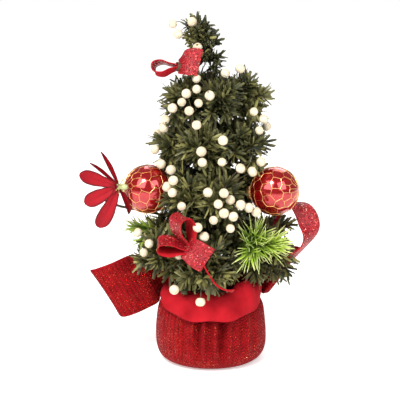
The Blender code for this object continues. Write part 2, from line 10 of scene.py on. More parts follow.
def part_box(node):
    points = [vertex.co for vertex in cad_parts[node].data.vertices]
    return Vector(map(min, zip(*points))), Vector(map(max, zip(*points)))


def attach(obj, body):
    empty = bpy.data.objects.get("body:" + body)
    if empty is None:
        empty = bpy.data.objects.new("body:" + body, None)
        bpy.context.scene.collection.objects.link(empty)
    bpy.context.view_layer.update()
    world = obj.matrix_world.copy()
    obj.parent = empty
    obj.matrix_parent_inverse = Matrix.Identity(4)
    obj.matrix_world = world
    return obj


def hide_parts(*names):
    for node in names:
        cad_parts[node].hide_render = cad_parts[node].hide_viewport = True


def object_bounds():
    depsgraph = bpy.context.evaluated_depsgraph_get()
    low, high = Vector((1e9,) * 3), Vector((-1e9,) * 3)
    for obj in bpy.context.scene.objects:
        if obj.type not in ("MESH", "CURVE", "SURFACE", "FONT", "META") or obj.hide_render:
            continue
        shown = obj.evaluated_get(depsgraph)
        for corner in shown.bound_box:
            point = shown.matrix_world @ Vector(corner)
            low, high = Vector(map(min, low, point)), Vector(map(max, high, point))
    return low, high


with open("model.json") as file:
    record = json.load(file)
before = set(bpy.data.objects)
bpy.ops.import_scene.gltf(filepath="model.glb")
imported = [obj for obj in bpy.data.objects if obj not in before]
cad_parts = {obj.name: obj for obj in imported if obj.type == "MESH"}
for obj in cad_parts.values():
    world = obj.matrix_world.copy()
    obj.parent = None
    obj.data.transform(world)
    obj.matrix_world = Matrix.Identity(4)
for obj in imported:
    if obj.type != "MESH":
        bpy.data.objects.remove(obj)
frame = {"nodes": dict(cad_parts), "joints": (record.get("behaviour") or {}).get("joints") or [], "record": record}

mm = 0.001
up = Vector((0, 0, 1))
noise.seed_set(5)  # noise_vector starts from the clock without it
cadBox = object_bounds()
rootBody = "base_and_stem"
jointOfBody = {joint["child"]: joint for joint in frame["joints"]}
bodyOfNode = {
    node: body for body, nodes in frame["record"]["behaviour"]["bodies"].items() for node in nodes
}
print("frame loaded:", len(frame["nodes"]), "nodes")


# ---- working tools: selecting, linking and finishing a piece
def deselectAll():
    if bpy.context.mode != "OBJECT":
        bpy.ops.object.mode_set(mode="OBJECT")
    bpy.ops.object.select_all(action="DESELECT")


def makeActive(piece):
    deselectAll()
    piece.select_set(True)
    bpy.context.view_layer.objects.active = piece


def selectFaces(piece, wanted):
    mesh = piece.data
    for part in (mesh.vertices, mesh.edges, mesh.polygons):
        part.foreach_set("select", [False] * len(part))
    for face in mesh.polygons:
        face.select = wanted(face)
    bpy.ops.object.mode_set(mode="EDIT")
    bpy.ops.mesh.select_mode(type="FACE")


def applyModifier(piece, name):
    makeActive(piece)
    bpy.ops.object.modifier_apply(modifier=name)


def applyPlace(piece):
    makeActive(piece)
    bpy.ops.object.transform_apply(location=True, rotation=True, scale=True)


def uprightTo(way):
    # the turn that lays a shape's own Z along this direction
    return way.normalized().to_track_quat("Z", "Y").to_matrix()


def facing(way):
    # lamps and cameras look along their own -Z
    return way.to_track_quat("-Z", "Y").to_euler()


def linkNew(name, data):
    piece = bpy.data.objects.new(name, data)
    bpy.context.scene.collection.objects.link(piece)
    return piece


def smoothShade(piece, angle=None):
    makeActive(piece)
    if angle is None:
        bpy.ops.object.shade_smooth()
    else:
        bpy.ops.object.shade_smooth_by_angle(angle=math.radians(angle))


def finishPiece(piece, body, materials, nodes=()):
    # clearing the list sets every face back to the first material, so the faces' own are kept
    faces = piece.data.polygons
    own = [0] * len(faces)
    faces.foreach_get("material_index", own)
    piece.data.materials.clear()
    for material in materials:
        piece.data.materials.append(material)
    faces.foreach_set("material_index", own)
    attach(piece, body)
    for node in nodes:
        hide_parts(node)
    return piece


# ---- curves and rows of points
def clamp(value):
    return max(0.0, min(1.0, value))


def stepsOf(route):
    return [(b - a).length for a, b in zip(route, route[1:])]


def roundAxis(turn, radius, height):
    # a point in mm round the upright axis
    return Vector((math.cos(turn) * radius, math.sin(turn) * radius, height)) * mm


def smoothRoute(points, perSpan=6):
    ends = [2 * points[0] - points[1], *points, 2 * points[-1] - points[-2]]
    route = []
    for a, b, c, d in zip(ends, ends[1:], ends[2:], ends[3:]):
        for i in range(perSpan):
            t = i / perSpan
            route.append(
                0.5 * (2 * b + (c - a) * t + (2 * a - 5 * b + 4 * c - d) * t**2 + (3 * b - a - 3 * c + d) * t**3)
            )
    return [*route, points[-1].copy()]


def smoothNumbers(numbers, perSpan=6):
    return [p.x for p in smoothRoute([Vector((n, 0, 0)) for n in numbers], perSpan)]


def directionAt(route, i):
    return (route[min(i + 1, len(route) - 1)] - route[max(i - 1, 0)]).normalized()


def framesAlong(route):
    # a side direction for each point that doesn't spin round the route
    side = directionAt(route, 0).orthogonal().normalized()
    frames = []
    for i in range(len(route)):
        ahead = directionAt(route, i)
        side = (side - ahead * side.dot(ahead)).normalized()
        frames.append((ahead, side, ahead.cross(side)))
    return frames


class MeshParts:
    # gathers points, faces, face materials and a tone for each point, for one mesh
    def __init__(self):
        self.points, self.faces, self.materials, self.tones = [], [], [], []

    def add(self, points, faces, material=0, tones=None):
        start = len(self.points)
        self.points.extend(points)
        self.faces.extend(tuple(start + k for k in face) for face in faces)
        self.materials.extend([material] * len(faces))
        self.tones.extend(tones or [(0.5, 0.5, 0.5, 1.0)] * len(points))

    def build(self, name):
        mesh = bpy.data.meshes.new(name)
        mesh.from_pydata(self.points, [], self.faces)
        mesh.polygons.foreach_set("material_index", self.materials)
        tone = mesh.color_attributes.new(name="tone", type="FLOAT_COLOR", domain="POINT")
        tone.data.foreach_set("color", [value for each in self.tones for value in each])
        mesh.update()
        return linkNew(name, mesh)


def addTube(parts, route, radius, sides=6, material=0, tone=(0.5, 0.5, 0.5, 1.0), twist=None):
    # twist = (strand radius, turns, start angle) makes the tube one strand of a twisted wire
    rings = []
    for i, (ahead, side, other) in enumerate(framesAlong(route)):
        centre = route[i]
        if twist:
            angle = twist[2] + math.tau * twist[1] * i / (len(route) - 1)
            centre = centre + (side * math.cos(angle) + other * math.sin(angle)) * twist[0]
        width = radius[i] if isinstance(radius, list) else radius
        for k in range(sides):
            a = math.tau * k / sides
            rings.append(centre + (side * math.cos(a) + other * math.sin(a)) * width)
    faces = [tuple(reversed(range(sides)))]
    for i in range(len(route) - 1):
        for k in range(sides):
            j = (k + 1) % sides
            faces.append((i * sides + k, i * sides + j, (i + 1) * sides + j, (i + 1) * sides + k))
    last = (len(route) - 1) * sides
    faces.append(tuple(range(last, last + sides)))
    parts.add(rings, faces, material, [tone] * len(rings))


# ---- shader groups shared by several materials
def newGroup(name, inputs, outputs):
    # a number makes a float input, four numbers a colour and None a vector
    group = bpy.data.node_groups.new(name, "ShaderNodeTree")
    for label, value in inputs.items():
        kind = "Vector" if value is None else "Color" if isinstance(value, tuple) else "Float"
        socket = group.interface.new_socket(name=label, in_out="INPUT", socket_type="NodeSocket" + kind)
        if value is not None:
            socket.default_value = value
    for label, kind in outputs.items():
        group.interface.new_socket(name=label, in_out="OUTPUT", socket_type="NodeSocket" + kind)
    return group, group.nodes.new("NodeGroupInput"), group.nodes.new("NodeGroupOutput")


def mathNode(tree, operation, *values):
    node = tree.nodes.new("ShaderNodeMath")
    node.operation = operation
    for socket, value in zip(node.inputs, values):
        feed(tree, value, socket)
    return node.outputs[0]


def vectorNode(tree, operation, *values):
    node = tree.nodes.new("ShaderNodeVectorMath")
    node.operation = operation
    for i, value in enumerate(values):
        feed(tree, value, node.inputs["Scale" if operation == "SCALE" and i == 1 else i])
    return node.outputs["Value"] if operation in ("DOT_PRODUCT", "LENGTH") else node.outputs["Vector"]


def feed(tree, value, socket):
    if isinstance(value, bpy.types.NodeSocket):
        tree.links.new(value, socket)
    else:
        socket.default_value = value


def mixColour(tree, share, first, second):
    node = tree.nodes.new("ShaderNodeMix")
    node.data_type = "RGBA"
    feed(tree, share, node.inputs["Factor"])
    feed(tree, first, [s for s in node.inputs if s.name == "A" and s.type == "RGBA"][0])
    feed(tree, second, [s for s in node.inputs if s.name == "B" and s.type == "RGBA"][0])
    return [s for s in node.outputs if s.type == "RGBA"][0]


def rangeNode(tree, value, low, high, newLow, newHigh):
    node = tree.nodes.new("ShaderNodeMapRange")
    for socket, each in zip(node.inputs, (value, low, high, newLow, newHigh)):
        feed(tree, each, socket)
    return node.outputs["Result"]


def noiseNode(tree, vector, scale, detail=3.0, roughness=0.55):
    node = tree.nodes.new("ShaderNodeTexNoise")
    feed(tree, vector, node.inputs["Vector"])
    feed(tree, scale, node.inputs["Scale"])
    node.inputs["Detail"].default_value = detail
    node.inputs["Roughness"].default_value = roughness
    return node.outputs["Fac"]


def makeGlitterGroup():
    # flakes: round cells, a share of which shine, each tipped its own way
    group, given, result = newGroup(
        "glitterFlakes",
        {"Vector": None, "Normal": None, "Cells": 1800.0, "Share": 0.2, "Tilt": 0.9},
        {"Flake": "Float", "Tone": "Float", "Normal": "Vector"},
    )
    cells = group.nodes.new("ShaderNodeTexVoronoi")
    feed(group, given.outputs["Vector"], cells.inputs["Vector"])
    feed(group, given.outputs["Cells"], cells.inputs["Scale"])
    split = group.nodes.new("ShaderNodeSeparateColor")
    feed(group, cells.outputs["Color"], split.inputs[0])
    chosen = mathNode(group, "LESS_THAN", split.outputs[0], given.outputs["Share"])
    disc = mathNode(group, "LESS_THAN", cells.outputs["Distance"], 0.52)
    flake = mathNode(group, "MULTIPLY", chosen, disc)
    lean = vectorNode(group, "SUBTRACT", cells.outputs["Color"], (0.5, 0.5, 0.5))
    strength = mathNode(group, "MULTIPLY", flake, given.outputs["Tilt"])
    tipped = vectorNode(group, "ADD", given.outputs["Normal"], vectorNode(group, "SCALE", lean, strength))
    feed(group, flake, result.inputs["Flake"])
    feed(group, split.outputs[1], result.inputs["Tone"])
    feed(group, vectorNode(group, "NORMALIZE", tipped), result.inputs["Normal"])
    return group


def makeKnitGroup():
    # ribs of V stitches that turn into wavy rows: U runs across the ribs and V along them, in metres
    group, given, result = newGroup(
        "knitRibs",
        {"Vector": None, "Rib": 0.0019, "Stitch": 0.0014, "Waver": 0.0004, "Wavy": 0.3},
        {"Height": "Float"},
    )
    place = given.outputs["Vector"]
    wander = mathNode(group, "MULTIPLY_ADD", noiseNode(group, place, 130.0), given.outputs["Waver"], 0.0)
    split = group.nodes.new("ShaderNodeSeparateXYZ")
    feed(group, place, split.inputs[0])
    u = mathNode(group, "DIVIDE", mathNode(group, "ADD", split.outputs[0], wander), given.outputs["Rib"])
    across = mathNode(group, "SUBTRACT", mathNode(group, "FRACT", u), 0.5)
    outward = mathNode(group, "ABSOLUTE", across)
    v = mathNode(group, "DIVIDE", split.outputs[1], given.outputs["Stitch"])
    slanted = mathNode(group, "ADD", v, mathNode(group, "MULTIPLY", outward, 1.5))
    slanted = mathNode(group, "ADD", slanted, noiseNode(group, place, 420.0))
    wave = mathNode(group, "SINE", mathNode(group, "MULTIPLY", slanted, math.tau))
    loop = mathNode(group, "MULTIPLY_ADD", wave, 0.5, 0.5)
    ridge = mathNode(group, "COSINE", mathNode(group, "MULTIPLY", across, math.pi))
    ribs = mathNode(group, "MULTIPLY", ridge, mathNode(group, "MULTIPLY_ADD", loop, 0.55, 0.45))
    waves = mathNode(group, "MULTIPLY", loop, mathNode(group, "MULTIPLY_ADD", ridge, 0.4, 0.6))
    feed(group, rangeNode(group, given.outputs["Wavy"], 0.0, 1.0, ribs, waves), result.inputs["Height"])
    return group


def makeFuzzGroup():
    # short pile and faint blotches, as on felt, flocked foam and wound tape
    group, given, result = newGroup(
        "fuzz",
        {"Vector": None, "Fine": 2600.0, "Coarse": 160.0},
        {"Height": "Float", "Blotch": "Float"},
    )
    fine = noiseNode(group, given.outputs["Vector"], given.outputs["Fine"], 4.0, 0.7)
    coarse = noiseNode(group, given.outputs["Vector"], given.outputs["Coarse"], 3.0)
    feed(group, mathNode(group, "MULTIPLY_ADD", coarse, 0.35, fine), result.inputs["Height"])
    feed(group, rangeNode(group, coarse, 0.3, 0.7, 0.0, 1.0), result.inputs["Blotch"])
    return group


def makeToneGroup():
    # reads the tone stored in a plant piece: red is the needle's own tone, green runs from root to tip
    group, given, result = newGroup(
        "needleTone",
        {
            "Tone": (0.5, 0.5, 0.5, 1), "Root": (0, 0, 0, 1), "Dark": (0, 0, 0, 1), "Light": (0, 0, 0, 1),
            "Tip": (0, 0, 0, 1), "Tip Share": 1.0, "Root Reach": 0.35,
        },
        {"Color": "Color", "Roughness": "Float"},
    )
    split = group.nodes.new("ShaderNodeSeparateColor")
    feed(group, given.outputs["Tone"], split.inputs[0])
    own = mixColour(group, split.outputs[0], given.outputs["Dark"], given.outputs["Light"])
    fromRoot = rangeNode(group, split.outputs[1], 0.0, given.outputs["Root Reach"], 0.0, 1.0)
    grown = mixColour(group, fromRoot, given.outputs["Root"], own)
    toTip = rangeNode(group, split.outputs[1], 0.6, 1.0, 0.0, given.outputs["Tip Share"])
    tipped = mixColour(group, toTip, grown, given.outputs["Tip"])
    feed(group, tipped, result.inputs["Color"])
    feed(group, rangeNode(group, split.outputs[2], 0.0, 1.0, 0.32, 0.62), result.inputs["Roughness"])
    return group


glitterGroup = makeGlitterGroup()
knitGroup = makeKnitGroup()
fuzzGroup = makeFuzzGroup()
toneGroup = makeToneGroup()


# ---- materials
def newMaterial(name, **settings):
    material = bpy.data.materials.new(name)
    material.use_nodes = True
    shader = material.node_tree.nodes["Principled BSDF"]
    for key, value in settings.items():
        label = "".join(" " + c if c.isupper() else c for c in key).strip().title()
        shader.inputs["Specular IOR Level" if label == "Specular" else label].default_value = value
    return material, material.node_tree, shader


def placeGroup(tree, group, **values):
    node = tree.nodes.new("ShaderNodeGroup")
    node.node_tree = group
    for label, value in values.items():
        feed(tree, value, node.inputs[label])
    return node


def bumpNode(tree, height, distance, strength):
    node = tree.nodes.new("ShaderNodeBump")
    feed(tree, height, node.inputs["Height"])
    node.inputs["Distance"].default_value = distance
    node.inputs["Strength"].default_value = strength
    return node.outputs["Normal"]


def coordinate(tree, kind):
    return tree.nodes.new("ShaderNodeTexCoord").outputs[kind]


def geometryNormal(tree):
    return tree.nodes.new("ShaderNodeNewGeometry").outputs["Normal"]


def glitterKnitMaterial(name, look):
    material, tree, shader = newMaterial(name, specular=0.12)
    uv = coordinate(tree, "UV")
    split = tree.nodes.new("ShaderNodeSeparateXYZ")
    feed(tree, uv, split.inputs[0])
    wavy = rangeNode(tree, split.outputs[0], *look["wavyFrom"], *look["wavy"])
    sizes = {"Rib": look["rib"], "Stitch": look["stitch"], "Waver": look["waver"]}
    knit = placeGroup(tree, knitGroup, Vector=uv, Wavy=wavy, **sizes)
    fuzz = placeGroup(tree, fuzzGroup, Vector=uv, Fine=look["fibre"], Coarse=190.0)
    # painted shade: the knit's grooves get a far darker colour than its crests
    cloth = mixColour(tree, knit.outputs["Height"], (*look["grooveShade"], 1), (*look["crest"], 1))
    cloth = mixColour(tree, mathNode(tree, "MULTIPLY", fuzz.outputs["Blotch"], 0.45), cloth, (*look["worn"], 1))
    surface = mathNode(tree, "MULTIPLY_ADD", fuzz.outputs["Height"], 0.4, knit.outputs["Height"])
    relief = bumpNode(tree, surface, look["depth"], 0.9)
    dense = rangeNode(tree, noiseNode(tree, uv, 90.0), 0.35, 0.65, *look["share"])
    flakes = placeGroup(tree, glitterGroup, Vector=uv, Normal=relief, Cells=look["cells"], Share=dense, Tilt=1.5)
    pale = mathNode(tree, "POWER", flakes.outputs["Tone"], 3.0)
    spark = mixColour(tree, pale, (*look["sparkWarm"], 1), (*look["sparkPale"], 1))
    feed(tree, mixColour(tree, flakes.outputs["Flake"], cloth, spark), shader.inputs["Base Color"])
    feed(tree, rangeNode(tree, flakes.outputs["Flake"], 0.0, 1.0, 0.85, 0.2), shader.inputs["Roughness"])
    feed(tree, flakes.outputs["Flake"], shader.inputs["Metallic"])
    feed(tree, flakes.outputs["Normal"], shader.inputs["Normal"])
    return material


def feltMaterial(name, dark, light):
    material, tree, shader = newMaterial(name, specular=0.12, roughness=0.9)
    place = coordinate(tree, "Object")
    fuzz = placeGroup(tree, fuzzGroup, Vector=place, Fine=2400.0, Coarse=120.0)
    pile = mathNode(tree, "MULTIPLY", fuzz.outputs["Height"], 0.3)
    shade = mathNode(tree, "MULTIPLY_ADD", fuzz.outputs["Blotch"], 0.55, pile)
    feed(tree, mixColour(tree, shade, (*dark, 1), (*light, 1)), shader.inputs["Base Color"])
    feed(tree, bumpNode(tree, fuzz.outputs["Height"], 0.00012, 0.7), shader.inputs["Normal"])
    return material


def ribbonGlitterMaterial(name, look):
    # coarse glitter glued all over a ribbon, with the red of the glue between the flakes
    material, tree, shader = newMaterial(name)
    place = coordinate(tree, "Object")
    normal = geometryNormal(tree)
    fine = placeGroup(tree, glitterGroup, Vector=place, Normal=normal, Cells=look["cells"], Share=0.62, Tilt=1.3)
    coarse = placeGroup(
        tree, glitterGroup, Vector=place, Normal=fine.outputs["Normal"],
        Cells=look["cells"] * 0.62, Share=look["bright"], Tilt=1.8,
    )
    red = mixColour(tree, fine.outputs["Tone"], (*look["dark"], 1), (*look["red"], 1))
    spark = mixColour(tree, coarse.outputs["Tone"], (*look["sparkWarm"], 1), (*look["sparkPale"], 1))
    feed(tree, mixColour(tree, coarse.outputs["Flake"], red, spark), shader.inputs["Base Color"])
    feed(tree, rangeNode(tree, fine.outputs["Flake"], 0.0, 1.0, 0.55, 0.25), shader.inputs["Roughness"])
    dull = mathNode(tree, "MULTIPLY", fine.outputs["Flake"], 0.55)
    feed(tree, mathNode(tree, "MAXIMUM", dull, coarse.outputs["Flake"]), shader.inputs["Metallic"])
    feed(tree, coarse.outputs["Normal"], shader.inputs["Normal"])
    return material


def plantMaterial(name, look):
    material, tree, shader = newMaterial(name, specular=look["gloss"])
    stored = tree.nodes.new("ShaderNodeAttribute")
    stored.attribute_name = "tone"
    colours = {label: (*look[label.lower()], 1) for label in ("Root", "Dark", "Light", "Tip")}
    reaches = {"Tip Share": look["tipShare"], "Root Reach": look["rootReach"]}
    tone = placeGroup(tree, toneGroup, Tone=stored.outputs["Color"], **colours, **reaches)
    feed(tree, tone.outputs["Color"], shader.inputs["Base Color"])
    feed(tree, tone.outputs["Roughness"], shader.inputs["Roughness"])
    grain = placeGroup(tree, fuzzGroup, Vector=coordinate(tree, "Object"), Fine=3200.0, Coarse=500.0)
    feed(tree, bumpNode(tree, grain.outputs["Height"], 0.00006, 0.6), shader.inputs["Normal"])
    return material


def coveredMaterial(name, dark, light, roughness=0.7, fine=2600.0, coarse=300.0, depth=0.0001, **settings):
    # a plain finish with blotches and a fine grain
    material, tree, shader = newMaterial(name, **settings)
    fuzz = placeGroup(tree, fuzzGroup, Vector=coordinate(tree, "Object"), Fine=fine, Coarse=coarse)
    feed(tree, mixColour(tree, fuzz.outputs["Blotch"], (*dark, 1), (*light, 1)), shader.inputs["Base Color"])
    rough = rangeNode(tree, fuzz.outputs["Height"], 0.2, 1.2, roughness - 0.1, roughness + 0.1)
    feed(tree, rough, shader.inputs["Roughness"])
    feed(tree, bumpNode(tree, fuzz.outputs["Height"], depth, 0.7), shader.inputs["Normal"])
    return material


# the groove colour is painted shade in the knit's recesses
knitLook = {
    "rib": 0.0031, "stitch": 0.0019, "waver": 0.0016, "fibre": 2600.0, "depth": 0.0005,
    "wavyFrom": (0.125, 0.15), "wavy": (0.15, 0.85),
    "grooveShade": (0.055, 0.0005, 0.001), "crest": (0.33, 0.003, 0.006), "worn": (0.4, 0.006, 0.01),
    "cells": 3600.0, "share": (0.03, 0.26), "sparkWarm": (0.5, 0.012, 0.006), "sparkPale": (1.0, 0.35, 0.15),
}
ribbonLook = {
    "cells": 2100.0, "bright": 0.13, "dark": (0.1, 0.001, 0.004), "red": (0.5, 0.008, 0.016),
    "sparkWarm": (1.0, 0.12, 0.08), "sparkPale": (1.0, 0.6, 0.5),
}
needleLook = {
    "root": (0.018, 0.012, 0.005), "dark": (0.006, 0.012, 0.004), "light": (0.36, 0.34, 0.11),
    "tip": (0.2, 0.18, 0.07), "tipShare": 0.35, "rootReach": 0.35, "gloss": 0.35,
}
limeLook = {
    "root": (0.006, 0.03, 0.003), "dark": (0.04, 0.15, 0.01), "light": (0.42, 0.58, 0.05),
    "tip": (0.78, 0.82, 0.34), "tipShare": 1.0, "rootReach": 0.5, "gloss": 0.5,
}
silkLook = {
    "root": (0.16, 0.001, 0.004), "dark": (0.06, 0.0005, 0.002), "light": (0.34, 0.003, 0.01),
    "tip": (0.16, 0.001, 0.005), "tipShare": 0.5, "rootReach": 0.2, "gloss": 0.2,
}
bowKnitLook = {
    **knitLook, "rib": 0.0026, "stitch": 0.0017, "wavy": (0.4, 0.7), "share": (0.02, 0.2), "depth": 0.00035,
}
bagMaterial = glitterKnitMaterial("glitterKnit", knitLook)
bowMaterial = glitterKnitMaterial("glitterKnitBow", bowKnitLook)
feltRed = feltMaterial("feltRed", (0.3, 0.004, 0.009), (0.47, 0.011, 0.019))
feltDark = feltMaterial("feltBacking", (0.22, 0.003, 0.006), (0.36, 0.007, 0.013))
ribbonMaterial = ribbonGlitterMaterial("ribbonGlitter", ribbonLook)
needleMaterial = plantMaterial("pineNeedles", needleLook)
limeMaterial = plantMaterial("limeNeedles", limeLook)
silkMaterial = plantMaterial("silkPetal", silkLook)
# plain finishes: the dark and the light colour, the roughness, and what differs from the usual
plainFinishes = {
    "twistedWire": ((0.05, 0.04, 0.02), (0.12, 0.09, 0.04), 0.6, {}),
    "berryStalk": ((0.05, 0.04, 0.016), (0.12, 0.1, 0.045), 0.7, {}),
    "stemTape": ((0.045, 0.03, 0.015), (0.09, 0.06, 0.03), 0.8, {}),
    "cupPlastic": ((0.02, 0.02, 0.02), (0.03, 0.03, 0.03), 0.5, {}),
    "castPlaster": ((0.55, 0.53, 0.48), (0.7, 0.68, 0.62), 0.9, {"depth": 0.0003}),
    "foamBerry": ((0.62, 0.5, 0.33), (0.8, 0.71, 0.55), 0.6, {
        "fine": 1500.0, "coarse": 420.0, "depth": 0.00022, "specular": 0.3, "subsurfaceWeight": 0.15,
        "subsurfaceRadius": (0.0012, 0.0009, 0.0006), "subsurfaceScale": 1.0,
    }),
    "stamenTuft": ((0.22, 0.24, 0.08), (0.5, 0.52, 0.26), 0.7, {}),
    "pollen": ((0.5, 0.42, 0.1), (0.75, 0.68, 0.35), 0.7, {}),
    "goldNet": ((0.8, 0.38, 0.1), (1.0, 0.62, 0.28), 0.35, {"metallic": 1.0, "fine": 5200.0, "depth": 0.00008}),
    "baubleRed": ((0.36, 0.003, 0.005), (0.46, 0.007, 0.01), 0.14, {
        "metallic": 0.6, "fine": 300.0, "depth": 0.00001, "coatWeight": 1.0, "coatRoughness": 0.03,
    }),
}
plain = {
    name: coveredMaterial(name, dark, light, roughness, **more)
    for name, (dark, light, roughness, more) in plainFinishes.items()
}
print("materials ready:", len(bpy.data.materials))


# ---- camera, light and floor
stageLook = {
    "aim": Vector((-6.2, 0, 91.6)) * mm, "distance": 0.75, "elevation": 12, "across": 0.225, "sensor": 36,
    "world": 0.24, "glow": 0.45, "sun": 2.1, "sunAngle": 14, "sunWay": (0.35, 0.75, -1.0), "lampAim": (0, 0, 0.09),
    # name, place in metres, size, power, colour
    "lamps": [
        ("keyLight", (-0.42, -0.6, 0.62), 0.64, 5.6, (1.0, 0.98, 0.95)),
        ("fillLight", (0.46, -0.6, 0.56), 0.54, 3.8, (0.98, 0.99, 1.0)),
        ("backLight", (0.1, 0.55, 0.6), 0.5, 2.2, (1.0, 1.0, 1.0)),
    ],
}


def setStage(look):
    bpy.context.scene.view_settings.view_transform = "Standard"
    elevation = math.radians(look["elevation"])
    camera = linkNew("camera", bpy.data.cameras.new("camera"))
    away = Vector((0, -math.cos(elevation), math.sin(elevation)))
    camera.location = look["aim"] + away * look["distance"]
    camera.rotation_euler = facing(-away)
    camera.data.sensor_width = look["sensor"]
    camera.data.lens = look["sensor"] * look["distance"] / look["across"]
    camera.data.clip_start = 0.01
    bpy.context.scene.camera = camera
    sun = linkNew("highLight", bpy.data.lights.new("highLight", "SUN"))
    sun.data.energy = look["sun"]
    sun.data.angle = math.radians(look["sunAngle"])
    sun.rotation_euler = facing(Vector(look["sunWay"]))
    for name, place, size, power, colour in look["lamps"]:
        lamp = linkNew(name, bpy.data.lights.new(name, "AREA"))
        lamp.location = place
        lamp.data.size = size
        lamp.data.energy = power
        lamp.data.color = colour
        lamp.rotation_euler = facing(Vector(look["lampAim"]) - Vector(place))
    world = bpy.data.worlds.new("studio")
    bpy.context.scene.world = world
    world.use_nodes = True
    tree = world.node_tree
    around = tree.nodes["Background"]
    around.inputs["Strength"].default_value = look["world"]
    seen = tree.nodes.new("ShaderNodeBackground")
    for background in (around, seen):
        background.inputs["Color"].default_value = (1, 1, 1, 1)
    mix = tree.nodes.new("ShaderNodeMixShader")
    tree.links.new(tree.nodes.new("ShaderNodeLightPath").outputs["Is Camera Ray"], mix.inputs[0])
    tree.links.new(around.outputs[0], mix.inputs[1])
    tree.links.new(seen.outputs[0], mix.inputs[2])
    tree.links.new(mix.outputs[0], tree.nodes["World Output"].inputs[0])
    deselectAll()
    bpy.ops.mesh.primitive_plane_add(size=6, location=(0, 0, cadBox[0][2] - 0.0002))
    floor = bpy.context.object
    floor.name = "floor"
    material, tree, shader = newMaterial("paleFloor", roughness=0.7)
    shader.inputs["Base Color"].default_value = (0.9, 0.9, 0.9, 1)
    shader.inputs["Emission Color"].default_value = (1, 1, 1, 1)
    shader.inputs["Emission Strength"].default_value = look["glow"]
    floor.data.materials.append(material)


setStage(stageLook)


# ---- cloth: rows of points become a sheet with its own thickness, felt inside and a UV map in metres
def thicken(piece, thickness, offset=0.0, rounds=1):
    wall = piece.modifiers.new("thickness", "SOLIDIFY")
    wall.thickness = thickness
    wall.offset = offset
    wall.material_offset = wall.material_offset_rim = int(len(piece.data.materials) > 1)
    applyModifier(piece, "thickness")
    if rounds:
        soft = piece.modifiers.new("soft", "SUBSURF")
        soft.levels = soft.render_levels = rounds
        applyModifier(piece, "soft")
    smoothShade(piece)


def addUv(mesh, corners):
    layer = mesh.uv_layers.new(name="clothUv")
    layer.data.foreach_set("uv", [value for corner in corners for value in corner])


def clothSheet(name, rows, across, thickness, faceMaterials, closed=False, rounds=1, offset=-1.0):
    # faceMaterials are those of the outer and the inner face, which Solidify can only give out when
    # the mesh has both already. U runs along each row when across is set, and from row to row if not
    columns = len(rows[0])
    points = [point for row in rows for point in row]
    faces, corners = [], []
    lengths = [0.0]
    for row, following in zip(rows, rows[1:]):
        lengths.append(lengths[-1] + (following[columns // 2] - row[columns // 2]).length)
    steps = [0.0]
    middle = max(rows, key=lambda row: sum(stepsOf(row)))
    for step in stepsOf(middle):
        steps.append(steps[-1] + step)
    if closed:
        steps.append(steps[-1] + (middle[0] - middle[-1]).length)
    for i in range(len(rows) - 1):
        for k in range(columns if closed else columns - 1):
            j = (k + 1) % columns
            faces.append((i * columns + k, i * columns + j, (i + 1) * columns + j, (i + 1) * columns + k))
            for row, step in ((i, k), (i, k + 1), (i + 1, k + 1), (i + 1, k)):
                corners.append((steps[step], lengths[row]) if across else (lengths[row], steps[step]))
    mesh = bpy.data.meshes.new(name)
    mesh.from_pydata(points, [], faces)
    addUv(mesh, corners)
    piece = linkNew(name, mesh)
    for material in faceMaterials:
        mesh.materials.append(material)
    thicken(piece, thickness, offset, rounds)
    return piece


bag = {
    "profile": [(0.5, 0), (9, 0), (17, 0), (22.5, 0.1), (26.8, 1.2), (29.8, 4), (31.1, 8.5), (31.5, 16), (31.1, 24),
                (29.8, 31), (26.8, 36.5), (23.6, 40.6), (22.0, 42.6), (22.2, 44), (22.8, 45.2)],
    "columns": 240, "thickness": 1.0, "gathers": 23, "gatherDepth": 1.15, "foldsFrom": 12, "foldsReach": 30,
    "lump": 0.7, "lumpSpread": 2.2, "rimFrom": 42.6, "rimHeight": 2.6, "backRise": 6.0, "backFlare": 4.5,
    "ruffle": 1.1, "ruffles": 13, "frontDrop": 3.4, "dropFrom": 30, "dropReach": 12, "flat": (0.2, 0.062),
    # each crease: degrees round the bag, depth, width
    "creases": [(256, 3.4, 4.2), (281, 4.8, 5.0), (238, 1.4, 4), (268, 1.6, 4), (304, 1.4, 5), (320, 1.0, 5)],
}


def bagRadius(angle, height, radius, look):
    # gathers deepen towards the neck, and the creases at the front run further down
    rise = clamp((height - look["foldsFrom"]) / look["foldsReach"])
    turn = math.radians(angle)
    fold = math.sin(turn * look["gathers"] + 1.6 * math.sin(turn * 3 + 0.7))
    deep = look["gatherDepth"] * (0.35 + 0.65 * noise.noise(Vector((angle * 0.03, 3.1, 0))) ** 2 + 0.3)
    radius += (fold - 0.35) * deep * rise**1.7
    for place, depth, width in look["creases"]:
        apart = (angle - place + 180) % 360 - 180
        reach = clamp((height - 6) / 10) * clamp((46 - height) / 8 + 0.3)
        radius -= depth * reach * math.exp(-((apart / width) ** 2) * 3)
        # the cloth that a crease takes in stands up beside it
        radius += 0.45 * depth * reach * math.exp(-(((abs(apart) - width * 1.5) / width) ** 2) * 3)
    spread = look["lumpSpread"]
    lump = noise.noise(Vector((math.cos(turn) * spread, math.sin(turn) * spread, height * 0.06)))
    return radius + lump * look["lump"] * min(1.0, height / 8) * clamp((radius - 8) / 10)


